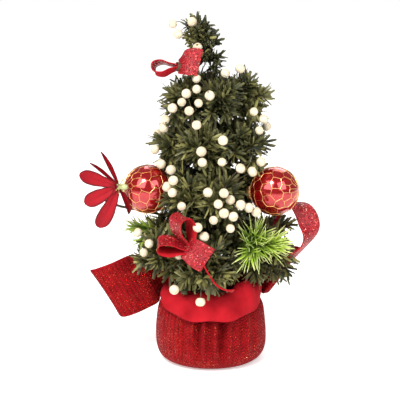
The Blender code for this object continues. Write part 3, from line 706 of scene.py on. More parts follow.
def makeBag(look):
    route = smoothRoute([Vector((r, 0, z)) for r, z in look["profile"]], 4)
    rows = []
    for point in route:
        row = []
        for k in range(look["columns"]):
            angle = 360 * k / look["columns"]
            height = max(0.0, point.z)
            radius = bagRadius(angle, height, point.x, look)
            turn = math.radians(angle)
            # the front of the rim lies under the turned-down felt, and the back stands up and flares
            stand = clamp(0.9 + 2.2 * math.sin(turn)) * max(0.0, (height - look["rimFrom"]) / look["rimHeight"])
            front = max(0.0, -math.sin(turn)) ** 0.6
            height -= look["frontDrop"] * front * clamp((height - look["dropFrom"]) / look["dropReach"])
            ruffle = look["ruffle"] * math.sin(turn * look["ruffles"] + math.sin(turn * 4))
            radius += stand * (look["backFlare"] + ruffle)
            height += stand * (look["backRise"] + 0.8 * ruffle)
            row.append(roundAxis(turn, radius, height))
        rows.append(row)
    faces = [bagMaterial, feltRed]
    piece = clothSheet("bagCloth", rows, True, look["thickness"] * mm, faces, closed=True, rounds=0)
    finishPiece(piece, rootBody, faces, ["bag_cloth"])


makeBag(bag)

collar = {
    "start": 188, "end": 354, "columns": 110, "thickness": 1.1, "endRise": 13, "endTuck": 8.0,
    "lapPlace": 320, "lapWidth": 24, "lapRise": 6.5, "lapFlare": 1.5, "wave": 1.1, "flat": (0.087, 0.022),
    "spine": [(23.2, 41.4), (24.6, 42.6), (27.2, 42.4), (30.2, 40.2), (32.4, 36.8), (33.7, 33.4), (34.3, 30.0)],
}


def makeCollar(look):
    spine = smoothRoute([Vector((r, 0, z)) for r, z in look["spine"]], 4)
    rows = []
    for i, point in enumerate(spine):
        t = i / (len(spine) - 1)
        row = []
        for k in range(look["columns"] + 1):
            share = k / look["columns"]
            angle = look["start"] + (look["end"] - look["start"]) * share
            turn = math.radians(angle)
            ends = abs(2 * share - 1) ** 2.0
            lap = math.exp(-(((angle - look["lapPlace"]) / look["lapWidth"]) ** 2)) * (1 - t) ** 1.4
            wave = math.sin(turn * 9 + 0.6) * 0.5 + math.sin(turn * 5 + 2.0) * 0.6
            radius = point.x + wave * look["wave"] * t - look["endTuck"] * ends * t
            height = point.z + look["endRise"] * ends * t * t + (1 - t) * 1.3 * math.sin(turn * 7 + 1.0)
            height += t * t * (0.7 * math.sin(turn * 4 + 0.9) + 0.5 * math.sin(turn * 11))
            height += lap * (look["lapRise"] + 1.0 * math.sin(turn * 24))
            radius += lap * (look["lapFlare"] + 1.2 * math.sin(turn * 24 + 1.1))
            radius += 1.1 * noise.noise(Vector((turn * 3, t * 2, 5.0)))
            row.append(roundAxis(turn, radius, height))
        rows.append(row)
    faces = [bagMaterial, feltRed]
    piece = clothSheet("bagCollar", rows, True, look["thickness"] * mm, faces, rounds=1)
    finishPiece(piece, rootBody, faces, ["bag_collar"])


makeCollar(collar)
print("bag and collar made")


# ---- strips of cloth: a path, a width and the way the width points
def stripRows(route, widths, tilts, columns, cup=0.0, pleats=0, pleatDepth=0.0, slanted=False):
    # the width is squared to the route, unless the strip is slanted
    rows = []
    for i, point in enumerate(route):
        ahead = directionAt(route, i)
        side = tilts[i].normalized() if slanted else (tilts[i] - ahead * tilts[i].dot(ahead)).normalized()
        out = ahead.cross(side).normalized()
        row = []
        gathered = 1 - widths[i] / max(widths)
        for k in range(columns + 1):
            share = k / columns - 0.5
            lift = cup * (4 * share * share - 1) * widths[i]
            lift += pleatDepth * gathered * math.sin(share * math.tau * pleats + 0.8)
            row.append(point + side * widths[i] * share + out * lift)
        rows.append(row)
    return rows


clothBow = {
    "width": 32.0, "gathered": 9.0, "thickness": 1.2, "reach": 31.5, "bowY": 28.4, "neck": 43.0,
    "left": {"fold": (60.5, 5.0, 36.0), "near": 6.5, "lean": 0.62, "turnBack": 0.0, "slant": 7.0},
    "right": {"fold": (42.0, 8.0, 49.0), "near": 4.0, "lean": 0.72, "turnBack": 0.15, "slant": 0.0},
}


def makeClothLoop(name, side, look, shape, node):
    reach, bowY, neck = look["reach"], look["bowY"], look["neck"]
    tipX, tipY, tipZ = shape["fold"]
    nearX, nearZ = reach + shape["near"], tipZ + shape["slant"]
    midX, midZ = (tipX + nearX) / 2, tipZ + 0.4 * shape["slant"]
    plan = [
        (3.0, bowY + 1.7, neck, 0), (0.62 * reach, bowY + 0.5, neck, 0.05), (0.96 * reach, bowY - 6, neck, 0.3),
        (nearX, tipY + 9, nearZ, 0.95), (midX, tipY + 4.5, midZ, 1), (tipX - 3, tipY + 3, tipZ, 1),
        (tipX, tipY, tipZ, 1), (tipX - 3, tipY - 3, tipZ, 1), (midX, tipY - 2.5, midZ, 1),
        (nearX, tipY + 2, nearZ, 0.95), (0.94 * reach, 14.5, neck, 0.3), (0.6 * reach, bowY - 6, neck, 0.05),
        (3.0, bowY - 1.7, neck, 0),
    ]
    route = smoothRoute([Vector((side * x, y, z)) * mm for x, y, z, _ in plan], 7)
    shares = [clamp(k) for k in smoothNumbers([k for *_, k in plan], 7)]
    widths = [(look["gathered"] + (look["width"] - look["gathered"]) * k) * mm for k in shares]
    tilts = [Vector((side * shape["lean"] * k, shape["turnBack"] * k, 1)) for k in shares]
    rows = stripRows(route, widths, tilts, 26, cup=0.02, pleats=3, pleatDepth=1.0 * mm, slanted=True)
    for row in rows:
        for k, point in enumerate(row):
            wave = noise.noise(Vector((point.x * 90, point.z * 90, side)))
            row[k] = point + Vector((0, 0.6 * mm * wave, 0))
    if side > 0:
        rows = [list(reversed(row)) for row in rows]
    piece = clothSheet(name, rows, False, look["thickness"] * mm, [feltRed, bowMaterial], offset=0.0)
    finishPiece(piece, rootBody, [feltRed, bowMaterial], [node])


makeClothLoop("clothBowLeft", -1, clothBow, clothBow["left"], "bag_bow_left_loop")
makeClothLoop("clothBowRight", 1, clothBow, clothBow["right"], "bag_bow_right_loop")


# ---- shapes that are made once and copied many times
def takeShape(piece):
    points = [vertex.co.copy() for vertex in piece.data.vertices]
    faces = [tuple(face.vertices) for face in piece.data.polygons]
    mesh = piece.data
    bpy.data.objects.remove(piece)
    bpy.data.meshes.remove(mesh)
    return points, faces


def makeNeedleShape(sides, rings):
    # one unit long along Z and one unit wide; rings gives each section's size against the one before
    deselectAll()
    step = 1 / len(rings)
    bpy.ops.mesh.primitive_cylinder_add(vertices=sides, radius=0.5, depth=step, location=(0, 0, step / 2))
    piece = bpy.context.object
    applyPlace(piece)
    for size in rings[1:]:
        selectFaces(piece, lambda face: face.normal.z > 0.9)
        bpy.ops.mesh.extrude_region_move(TRANSFORM_OT_translate={"value": (0, 0, step)})
        bpy.ops.transform.resize(value=(size, size, 1))
        bpy.ops.object.mode_set(mode="OBJECT")
    return takeShape(piece)


def makeBerryShape():
    # a pressed-foam ball with a shallow dimple at each end
    deselectAll()
    bpy.ops.mesh.primitive_uv_sphere_add(segments=16, ring_count=10, radius=1)
    piece = bpy.context.object
    for vertex in piece.data.vertices:
        dimple = math.exp(-((1 - abs(vertex.co.z)) / 0.12) ** 2)
        vertex.co.z *= 0.97 - 0.12 * dimple
        vertex.co *= 1 + 0.025 * noise.noise(vertex.co * 2.5)
    return takeShape(piece)


flatNeedle = makeNeedleShape(4, [1.0, 1.0, 0.72])
roundNeedle = makeNeedleShape(5, [1.0, 0.95, 0.85, 0.7, 0.45])
berryShape = makeBerryShape()


def addNeedle(parts, shape, base, ahead, side, length, width, thickness, curve, tone, gloss):
    # curve bends the needle over towards its flat side
    points, faces = shape
    flat = ahead.cross(side).normalized()
    placed, tones = [], []
    for p in points:
        t = p.z
        bent = flat * (curve * t * t * length)
        placed.append(base + ahead * (t * length) + bent + side * (p.x * width) + flat * (p.y * thickness))
        tones.append((tone, t, gloss, 1.0))
    parts.add(placed, faces, 0, tones)


def farthestPoint(node, root):
    mesh = frame["nodes"][node].data
    return max((vertex.co for vertex in mesh.vertices), key=lambda p: (p - root).length).copy()


def growNeedles(parts, route, look, rng, start=0.1, reach=1.0):
    # needles stand out of the twisted wires all the way round, and close up towards the tip;
    # each twig has a tone of its own, so that some stand out light against others;
    # needles near the trunk are darkened as painted shade for the inside of the tree
    shade = rng.random() ** 1.4 * look["ownShade"]
    frames = framesAlong(route)
    count = int(sum(stepsOf(route)) / mm * look["perMm"])
    for i in range(count):
        t = start + (1 - start) * (i + rng.random()) / count
        place = t * (len(route) - 1)
        k = min(int(place), len(route) - 2)
        base = route[k].lerp(route[k + 1], place - k)
        ahead, side, other = frames[k]
        around = i * 2.4 + rng.uniform(-0.5, 0.5)
        out = side * math.cos(around) + other * math.sin(around)
        open_ = math.radians(rng.uniform(*look["angle"])) * (1 - 0.45 * max(0.0, t - 0.8) / 0.2)
        aim = (ahead * math.cos(open_) + out * math.sin(open_)).normalized()
        turn = rng.uniform(0, math.pi)
        flat = aim.orthogonal().normalized()
        flat = flat * math.cos(turn) + aim.cross(flat) * math.sin(turn)
        size = rng.uniform(*look["length"]) * reach * mm * (1 - 0.25 * max(0.0, t - 0.7) / 0.3)
        # painted shade: within look["dark"] mm of the trunk (a third of that above 17 cm) the needle tone is pulled
        # towards the dark colour
        shadeReach = look["dark"] * (1.0 if base.z < 0.17 else 0.3)
        depth = min(1.0, math.hypot(base.x, base.y) / (shadeReach * mm)) if look["dark"] else 1.0
        tone = min(1.0, shade + (1 - shade) * rng.random() ** look["toneBias"]) * depth**2
        tone += (t - tone) * look["along"]
        addNeedle(
            parts, look["shape"], base, aim, flat, size, look["width"] * rng.uniform(0.8, 1.15) * mm,
            look["thickness"] * mm, rng.uniform(*look["curve"]), tone, rng.random(),
        )


# dark is how far in mm from the trunk needles get painted shade; 0 leaves them unshaded
foliage = {
    "shape": flatNeedle, "perMm": 2.9, "angle": (32, 74), "length": (6.5, 12.5), "width": 1.5, "thickness": 0.34,
    "curve": (-0.2, 0.2), "toneBias": 3.6, "ownShade": 0.3, "drift": 0.5, "dark": 24, "along": 0,
}
# each twig: its share of the way along, the side, the rise, its share of the length, the angle off the branch
twigPlan = [
    (0.05, 1, 2.6, 0.46, 80), (0.14, -1, 2.2, 0.5, 70), (0.3, -1, 3.0, 0.42, 72), (0.55, 1, 2.8, 0.42, 70),
    (0.7, -1, 2.4, 0.36, 64), (0.5, -1, -1.6, 0.3, 60), (0.16, 1, 0.9, 0.42, 62), (0.26, -1, -0.2, 0.46, 52),
    (0.38, 1, -0.5, 0.48, 50), (0.46, -1, 1.6, 0.4, 58), (0.56, 1, 0.9, 0.42, 50), (0.66, -1, 0.2, 0.38, 46),
    (0.76, 1, -0.3, 0.3, 46),
]
extraTwigs = {
    "leader": [(0.3, (-1, -0.3, 0.7), 10), (0.55, (-1, -0.2, 0.4), 10), (0.8, (-1, 0, 0.2), 8)],
    "crown_right": [(0.25, (-0.1, -0.25, 1), 15), (0.6, (0.2, -0.3, 1), 10), (0.45, (0.1, 0.5, 0.9), 12),
                    (0.85, (0.1, -0.4, -1), 12)],
    "crown_front": [(0.15, (0.1, 0.1, 1), 18), (0.5, (0.3, -0.1, 1), 13), (0.75, (0.6, -0.2, 0.7), 9)],
    "crown_left": [(0.2, (0.25, 0.1, 1), 17), (0.5, (0, -0.2, 1), 9), (0.8, (-0.35, -0.4, -1), 13)],
    "crown_back": [(0.15, (0.1, 0.1, 1), 16), (0.5, (0.4, 0.1, 1), 12), (0.6, (-0.5, 0.2, 0.8), 11)],
    "high_right": [(0.5, (0.2, -0.5, 0.9), 14), (0.7, (0.4, 0.5, 0.7), 12), (0.85, (0.25, -0.5, -1), 13)],
    "high_left": [(0.5, (0, -0.7, 0.7), 13), (0.4, (-0.1, 0.7, 0.7), 13), (0.8, (-0.1, -0.5, -1), 13)],
    "high_front": [(0.5, (0.8, -0.2, 0.5), 15), (0.7, (-0.4, -0.2, 0.9), 10)],
    "middle_front": [(0.45, (0.7, -0.1, 0.8), 15), (0.7, (-0.5, -0.1, 0.8), 12)],
    "middle_front_left": [(0.6, (-0.4, 0.3, 0.8), 15), (0.75, (0.5, -0.4, 0.7), 11)],
    "middle_back_right": [(0.5, (0.3, -0.8, 0.5), 16), (0.7, (0.4, -0.4, 0.8), 12), (0.6, (-0.1, -0.9, 0.9), 17)],
    "middle_back_left": [(0.6, (0.1, -0.9, 0.8), 16)],
    "low_back_right": [(0.6, (0.9, -0.2, 0.35), 28), (0.8, (0.9, -0.1, 0.6), 18), (0.7, (1, -0.3, 0.45), 17)],
    "low_front": [(0.45, (0.8, -0.3, 0.2), 18), (0.6, (-0.9, -0.2, 0.25), 17), (0.8, (0.5, -0.4, -0.5), 9)],
    "low_left": [(0.5, (-0.1, -0.9, 0.4), 17), (0.75, (-0.3, -0.5, 0.8), 12)],
    "low_right": [(0.45, (0.3, -0.6, -0.6), 16), (0.6, (0.6, -0.5, -0.8), 16), (0.8, (0.6, -0.2, -0.8), 13),
                  (0.7, (0.5, 0.5, 0.8), 13)],
}


def branchRoute(root, tip, rng, sway=1.6):
    ahead = (tip - root).normalized()
    side = ahead.cross(up).normalized()
    over = side.cross(ahead)
    span = (tip - root).length
    points = [root]
    for share in (0.33, 0.67):
        drift = side * rng.uniform(-sway, sway) + over * rng.uniform(0.2, sway)
        points.append(root + ahead * span * share + drift * mm)
    points.append(tip)
    return smoothRoute(points, 5)


wirePitch = 3.2  # mm along the branch for each turn of the twisted pair


def addWires(parts, route, radius, strand):
    turns = sum(stepsOf(route)) / (wirePitch * mm)
    fine = smoothRoute(route, 4)
    for start in (0, math.pi):
        addTube(parts, fine, radius, 5, 1, (0.2, 0.0, 0.5, 1.0), (strand, turns, start))


def growBranch(name, body, node, slim=1.0):
    # a slim branch has shorter twigs and shorter needles
    rng = random.Random(name)
    root = Vector(jointOfBody[body]["pos_m"])
    tip = farthestPoint(node, root)
    ahead = (tip - root).normalized()
    length = (tip - root).length
    side = ahead.cross(up).normalized() if abs(ahead.z) < 0.9 else Vector((1, 0, 0))
    over = side.cross(ahead)
    parts = MeshParts()
    route = branchRoute(root, tip - ahead * 2.5 * mm, rng)
    addWires(parts, route, 0.42 * mm, 0.36 * mm)
    growNeedles(parts, route, foliage, rng, reach=slim)
    grown = route[len(route) // 3:]
    twigs = []
    for share, way, rise, reach, spread in twigPlan:
        turn = math.radians(spread)
        lift = rise + rng.uniform(-foliage["drift"], foliage["drift"])
        aim = ahead * math.cos(turn) + (side * way + over * lift).normalized() * math.sin(turn)
        twigs.append((share, aim, length * reach * slim * rng.uniform(0.85, 1.15)))
    for share, way, reach in extraTwigs.get(name, []):
        twigs.append((share, Vector(way).normalized(), reach * mm))
    for share, aim, reach in twigs:
        start = route[int(share * (len(route) - 1))]
        twig = branchRoute(start, start + aim * reach, rng, 0.7)
        addWires(parts, twig, 0.34 * mm, 0.3 * mm)
        growNeedles(parts, twig, foliage, rng, 0.12, 0.88 * slim)
        grown.extend(twig[2:-3])
    piece = parts.build(name + "Foliage")
    finishPiece(piece, body, [needleMaterial, plain["twistedWire"]], [node])
    return grown


branchRoutes = {}
for node in frame["nodes"]:
    if node.endswith("_branch") or node == "leader_tip":
        slim = 0.66 if node == "leader_tip" else 1.0
        name = node.removesuffix("_branch").removesuffix("_tip")
        branchRoutes[node] = growBranch(name, bodyOfNode[node], node, slim)
print("branches grown:", len(branchRoutes))


# ---- foam berries on wire stalks; places in mm, each with its own spray's branch
berry = {"radius": 2.55, "stalk": 0.2, "spread": 0.09}
berryPlaces = {
    "leader": [(-21, -4, 190.5), (-10.5, -4, 191.5), (-18, -6, 185), (-7.5, -8, 178)],
    "crown_left": [(-21, -20, 146.5), (-16, -22, 150), (-13.5, -21, 154.5), (-25, -17, 140), (-18, 6, 152)],
    "crown_front": [(-9, -14, 167), (-8, -17, 162), (7.5, -16, 165), (15.5, -12, 167), (-8, -22, 157),
                    (-1, -25, 154), (-7, -26, 150)],
    "high_front": [(-12, -27, 146), (-8, -31, 139), (-5.5, -33, 125), (-5, -35, 119.5), (6, -33, 131)],
    "high_left": [(-26, -14, 135), (-31, -12, 122.5), (-27.5, -18, 115.5), (-22, -22, 113), (-30, 8, 128)],
    "high_right": [(23, -16, 144), (28.5, -13, 139.5), (26, -18, 134), (27, -20, 117), (31, 3, 133)],
    "middle_front": [(5.5, -34, 119.5), (15.5, -31, 115.5), (22, -27, 113), (-2, -39, 104), (6.5, -41, 104),
                     (3.5, -43, 98.5), (10, -37, 99.5), (6.5, -43, 93.5), (1, -42, 89.5), (11.5, -42, 91.5),
                     (15.5, -38, 97), (20, -36, 95), (24, -33, 92)],
    "middle_front_left": [(-24, -31, 105.5), (-20.5, -34, 109.5), (-21, -35, 103), (-16, -37, 96)],
    "middle_back": [(8, 38, 99), (-7, 39, 106), (1, 43, 95), (-3, 40, 112), (13, 36, 108)],
    "low_left": [(-40.5, -20, 77.5), (-34, -27, 73), (-37, -27, 68), (-17.5, -37, 69)],
    "low_front": [(-20, -45, 52), (-6, -48, 46), (-7.5, -44, 86), (-4, -42, 80.5), (10, -42, 85)],
    "low_back": [(-12, 43, 73), (4, 46, 66), (-4, 42, 81), (-14, 47, 61)],
}


def growBerries(name, body, node, places, route):
    rng = random.Random(name + "berries")
    parts = MeshParts()
    points, faces = berryShape
    for x, y, z in places:
        centre = Vector((x, y, z)) * mm
        start = min(route, key=lambda p: (p - centre).length)
        middle = start.lerp(centre, 0.5) + Vector((rng.uniform(-1, 1), rng.uniform(-1, 1), rng.uniform(0, 2))) * mm
        stalk = smoothRoute([start, middle, centre], 5)
        addTube(parts, stalk, berry["stalk"] * mm, 5, 1)
        turn = uprightTo(centre - stalk[-3]) @ Matrix.Rotation(rng.uniform(0, math.tau), 3, "Z")
        size = berry["radius"] * mm * rng.uniform(1 - berry["spread"], 1 + berry["spread"])
        parts.add([centre + turn @ (p * size) for p in points], faces, 0)
    piece = parts.build(name + "Spray")
    smoothShade(piece, 50)
    finishPiece(piece, body, [plain["foamBerry"], plain["berryStalk"]], [node])


for name, places in berryPlaces.items():
    branchNode = "leader_tip" if name == "leader" else name + "_branch"
    growBerries(name, bodyOfNode[branchNode], name + "_berries", places, branchRoutes[branchNode])
print("berries placed:", sum(len(places) for places in berryPlaces.values()))


# ---- lime pine picks
limePick = {
    "shape": roundNeedle, "perMm": 2.9, "angle": (16, 66), "length": (12, 18.5), "width": 0.85, "thickness": 0.8,
    "curve": (-0.22, 0.22), "toneBias": 0.8, "ownShade": 0.1, "dark": 0, "along": 0.6,
}


def growPick(name, node, start, look, sprigs):
    body = bodyOfNode[node]
    rng = random.Random(name)
    root = Vector(jointOfBody[body]["pos_m"])
    tip = farthestPoint(node, root)
    ahead = (tip - root).normalized()
    parts = MeshParts()
    stem = branchRoute(root, tip - ahead * 9 * mm, rng, 1.0)
    addTube(parts, smoothRoute(stem, 2), 0.7 * mm, 7, 0, (0.15, 0.3, 0.6, 1.0))
    growNeedles(parts, stem, look, rng, start)
    for share, way, reach in sprigs:
        base = stem[int(share * (len(stem) - 1))]
        sprig = branchRoute(base, base + Vector(way).normalized() * reach * mm, rng, 0.5)
        addTube(parts, sprig, 0.55 * mm, 6, 0, (0.15, 0.3, 0.6, 1.0))
        growNeedles(parts, sprig, look, rng, 0.1, 0.9)
    piece = parts.build(name)
    smoothShade(piece, 60)
    finishPiece(piece, body, [limeMaterial], [node])


limePickSmall = {**limePick, "width": 1.4, "perMm": 2.2, "length": (9, 13), "along": 0.2}
# each sprig: where it leaves the stem, its direction, its length
rightSprigs = [(0.62, (0.2, -0.6, 0.8), 9), (0.7, (-0.3, -0.8, -0.3), 10)]
growPick("limePickRight", "right_pine_pick", 0.42, limePick, rightSprigs)
growPick("limePickLeft", "left_pine_pick", 0.5, limePickSmall, [(0.75, (-0.7, -0.2, -0.5), 9)])
print("picks made")


# ---- glass-smooth baubles with a crimped cap, in a gold net
bauble = {
    "left": (-35, -13, 100.5), "right": (35, -13, 99.5), "radius": 13.5, "neck": 3.2,
    "cells": 13, "rowStep": 0.42, "lowest": -1.25, "rows": 7, "highest": 1.37, "line": 0.15, "waver": 0.06,
    "capDepth": 2.6, "capWall": 0.6, "crimps": 24,
}


def baubleFrame(side, look):
    # each ball's neck points back at the root of its wire
    root = Vector(jointOfBody[side + "_bauble_pick"]["pos_m"])
    centre = Vector(look[side]) * mm
    return centre, uprightTo(root - centre)


def throatHeight(look):
    # how high over the ball's middle its neck begins
    radius = look["radius"] * mm
    return radius * math.cos(math.asin(look["neck"] * mm / radius))


def makeBall(side, look, centre, turn):
    radius, throat = look["radius"] * mm, throatHeight(look)
    deselectAll()
    bpy.ops.mesh.primitive_uv_sphere_add(segments=72, ring_count=48, radius=radius)
    piece = bpy.context.object
    piece.name = side + "BaubleBall"
    selectFaces(piece, lambda face: face.center.z > throat)
    bpy.ops.mesh.extrude_region_move(TRANSFORM_OT_translate={"value": (0, 0, 1.7 * mm)})
    bpy.ops.object.mode_set(mode="OBJECT")
    for vertex in piece.data.vertices:
        if vertex.co.z > throat + 1.0 * mm:
            vertex.co.z = throat + 1.6 * mm
    piece.data.transform(Matrix.Translation(centre) @ turn.to_4x4())
    smoothShade(piece, 40)
    finishPiece(piece, side + "_bauble_pick", [plain["baubleRed"]], [side + "_bauble"])


def netPoint(look, along, around, seed):
    # a point of the net: the angle up from the ball's middle and the angle round it, both wavering
    way = Vector((math.cos(around) * math.cos(along), math.sin(around) * math.cos(along), math.sin(along)))
    shift = noise.noise_vector(way * 4.1 + Vector((seed, 0, 0))) * look["waver"] * 2
    return (way + shift).normalized()


def makeNet(side, look, centre, turn, seed):
    parts = MeshParts()
    radius = (look["radius"] + 0.06) * mm
    half = math.pi / look["cells"]
    step = look["rowStep"]

    def addLine(first, second):
        a, b = netPoint(look, *first, seed), netPoint(look, *second, seed)
        count = max(3, int(a.angle(b) / 0.09))
        route = [centre + turn @ (a.slerp(b, i / count) * radius) for i in range(count + 1)]
        width = [look["line"] * mm * (1 + 0.35 * noise.noise(p * 900)) for p in route]
        addTube(parts, route, width, 6, 0)

    for row in range(look["rows"]):
        along = look["lowest"] + row * step
        for i in range(look["cells"]):
            around = (2 * i + row % 2) * half
            top = (along + step * 0.62, around)
            right, left = ((along + step * 0.38, around + way * half) for way in (1, -1))
            if along + step < look["highest"]:
                addLine(top, right)
                addLine(top, left)
                addLine(right, (along - step * 0.38, around + half))
    piece = parts.build(side + "BaubleNet")
    smoothShade(piece, 50)
    finishPiece(piece, side + "_bauble_pick", [plain["goldNet"]])


def makeCap(side, look, centre, turn):
    # a cap of thin sheet metal, crimped round its skirt
    throat, depth = throatHeight(look), look["capDepth"] * mm
    deselectAll()
    bpy.ops.mesh.primitive_cylinder_add(vertices=96, radius=(look["neck"] + look["capWall"]) * mm, depth=depth)
    piece = bpy.context.object
    piece.name = side + "BaubleCap"
    for vertex in piece.data.vertices:
        vertex.co.z += throat + depth / 2
        if vertex.co.z < throat + 0.6 * mm:
            around = math.atan2(vertex.co.y, vertex.co.x)
            flare = 1.12 + 0.07 * math.cos(around * look["crimps"])
            vertex.co.x *= flare
            vertex.co.y *= flare
    edges = piece.modifiers.new("edge", "BEVEL")
    edges.width = 0.25 * mm
    edges.segments = 2
    edges.limit_method = "ANGLE"
    applyModifier(piece, "edge")
    piece.data.transform(Matrix.Translation(centre) @ turn.to_4x4())
    smoothShade(piece, 40)
    finishPiece(piece, side + "_bauble_pick", [plain["goldNet"]], [side + "_bauble_cap"])


for seed, side in enumerate(("left", "right")):
    centre, turn = baubleFrame(side, bauble)
    makeBall(side, bauble, centre, turn)
    makeNet(side, bauble, centre, turn, seed * 7.3)
    makeCap(side, bauble, centre, turn)
print("baubles made")


# ---- the cloth flower: petals cut from cloth, a tuft of stamens and a wired stem
flower = {
    "centre": (-50.5, -24, 104.2), "face": (0.28, -0.92, 0.2), "length": 18, "width": 8.6, "thickness": 0.45,
    "steps": 16, "columns": 8, "foot": 1.3, "vein": 0.28, "crimp": 0.25, "flat": (0.04, 0.04),
    "petals": [
        {"turn": 107, "back": 25, "reach": 1.24, "breadth": 0.5, "fold": 1.15, "droop": 0.05, "pointed": 1},
        {"turn": 130, "back": 30, "reach": 1.3, "breadth": 0.4, "fold": 1.2, "droop": 0.12, "pointed": 1},
        {"turn": 160, "back": 10, "reach": 1.2, "breadth": 0.98, "fold": 0.2, "droop": -0.12, "pointed": 0},
        {"turn": 204, "back": 6, "reach": 1.08, "breadth": 1.05, "fold": 0.14, "droop": 0.1, "pointed": 0},
        {"turn": 245, "back": 8, "reach": 1.4, "breadth": 1.12, "fold": 0.22, "droop": 0.15, "pointed": 0},
        {"turn": 299, "back": 22, "reach": 1.3, "breadth": 0.6, "fold": 0.9, "droop": 0.2, "pointed": 1},
        {"turn": 60, "back": 80, "reach": 0.72, "breadth": 0.7, "fold": 0.3, "droop": 0.3, "pointed": 0},
    ],
    # how wide a petal is along its length: a rounded one and a pointed one
    "outline": [(0, 0.42), (0.12, 0.5), (0.32, 0.74), (0.58, 0.98), (0.76, 1.0), (0.89, 0.83), (0.97, 0.5),
                (1, 0.16)],
    "point": [(0, 0.5), (0.2, 0.8), (0.45, 1.0), (0.7, 0.8), (0.88, 0.45), (1, 0.1)],
    "eye": {"aim": (0.86, -0.45, 0.02), "length": 7.0, "radius": 1.75, "stalks": 22},
}


def outlineWidth(outline, t):
    for (a, first), (b, second) in zip(outline, outline[1:]):
        if t <= b:
            share = (t - a) / (b - a)
            return first + (second - first) * share * share * (3 - 2 * share)
    return outline[-1][1]


def makePetals(look):
    centre, turn = Vector(look["centre"]) * mm, uprightTo(Vector(look["face"]))
    parts = MeshParts()
    corners, area = [], 0.0
    steps, columns = look["steps"], look["columns"]
    for number, petal in enumerate(look["petals"]):
        angle, back = math.radians(petal["turn"]), math.radians(petal["back"])
        out = Vector((math.cos(angle), math.sin(angle), 0))
        across = up.cross(out)
        reach, breadth = look["length"] * petal["reach"], look["width"] * petal["breadth"]
        points, tones = [], []
        for i in range(steps + 1):
            t = i / steps
            bend = back + petal["droop"] * t * 2
            along = out * math.cos(bend) - up * math.sin(bend)
            lift = out * math.sin(bend) + up * math.cos(bend)
            width = breadth * outlineWidth(look["point" if petal["pointed"] else "outline"], t)
            area += width * reach / steps
            for k in range(columns + 1):
                share = 2 * k / columns - 1
                cup = petal["fold"] * abs(share) ** 1.3 * width * 0.55
                vein = -look["vein"] * math.exp(-((share / 0.12) ** 2)) * (1 - t)
                crimp = look["crimp"] * noise.noise(Vector((number * 5.0, t * 5, share * 2.5)))
                side = share * width / 2 * (1 - 0.35 * petal["fold"])
                rise = cup + vein + crimp
                points.append(out * look["foot"] + along * (reach * t) + across * side + lift * rise)
                # darker along the edges and the vein
                bright = (1 - abs(share) ** 5) * (1 - 0.5 * math.exp(-((share / 0.2) ** 2)) * (1 - t))
                tones.append((bright, t, 0.9, 1.0))
        faces = []
        for i in range(steps):
            for k in range(columns):
                a = i * (columns + 1) + k
                faces.append((a, a + columns + 1, a + columns + 2, a + 1))
                for row, column in ((i, k), (i + 1, k), (i + 1, k + 1), (i, k + 1)):
                    wide = (column / columns - 0.5) * breadth * mm
                    corners.append((wide + number * 0.02, row / steps * reach * mm))
        parts.add([centre + turn @ (p * mm) for p in points], faces, 0, tones)
    piece = parts.build("flowerPetals")
    addUv(piece.data, corners)
    thicken(piece, look["thickness"] * mm)
    finishPiece(piece, "flower_pick", [silkMaterial], ["flower_petals"])
    print("petals cut from", round(area), "square mm")


def makeStamens(look):
    # an olive bulb that leans over to one side, with fine stalks round its foot
    rng = random.Random("stamens")
    centre, eye = Vector(look["centre"]) * mm, look["eye"]
    turn = uprightTo(Vector(eye["aim"]))
    parts = MeshParts()
    points, faces = berryShape
    half = eye["length"] / 2
    bulb = [Vector((p.x * eye["radius"], p.y * eye["radius"], (p.z + 0.85) * half)) for p in points]
    bulb = [b * (0.85 if p.z < 0 else 1.0) for b, p in zip(bulb, points)]
    parts.add([centre + turn @ (p * mm) for p in bulb], faces, 0)
    for i in range(eye["stalks"]):
        around, open_ = i * 2.4, math.radians(rng.uniform(28, 78))
        way = Vector((math.cos(around) * math.sin(open_), math.sin(around) * math.sin(open_), math.cos(open_)))
        length = rng.uniform(3.2, 5.4)
        bend = Vector((rng.uniform(-0.6, 0.6), rng.uniform(-0.6, 0.6), 0))
        route = [centre + turn @ ((way * length * t + bend * t * t) * mm) for t in (0.1, 0.5, 1)]
        addTube(parts, route, 0.17 * mm, 5, 0)
        parts.add([route[-1] + p * 0.3 * mm for p in points], faces, 1)
    piece = parts.build("flowerStamens")
    smoothShade(piece, 50)
    finishPiece(piece, "flower_pick", [plain["stamenTuft"], plain["pollen"]], ["flower_stamens"])


makePetals(flower)
makeStamens(flower)
print("flower made")


# ---- ribbon bows: glitter outside, felt inside, tied on with wire
ribbon = {
    "width": 12.5, "thickness": 0.7, "columns": 10, "cup": 0.05, "pleats": 2, "pleatDepth": 0.5,
    "wire": 0.4, "turns": 3, "coilRadius": 2.1, "coilLength": 2.4, "knotRadius": 1.9,
}
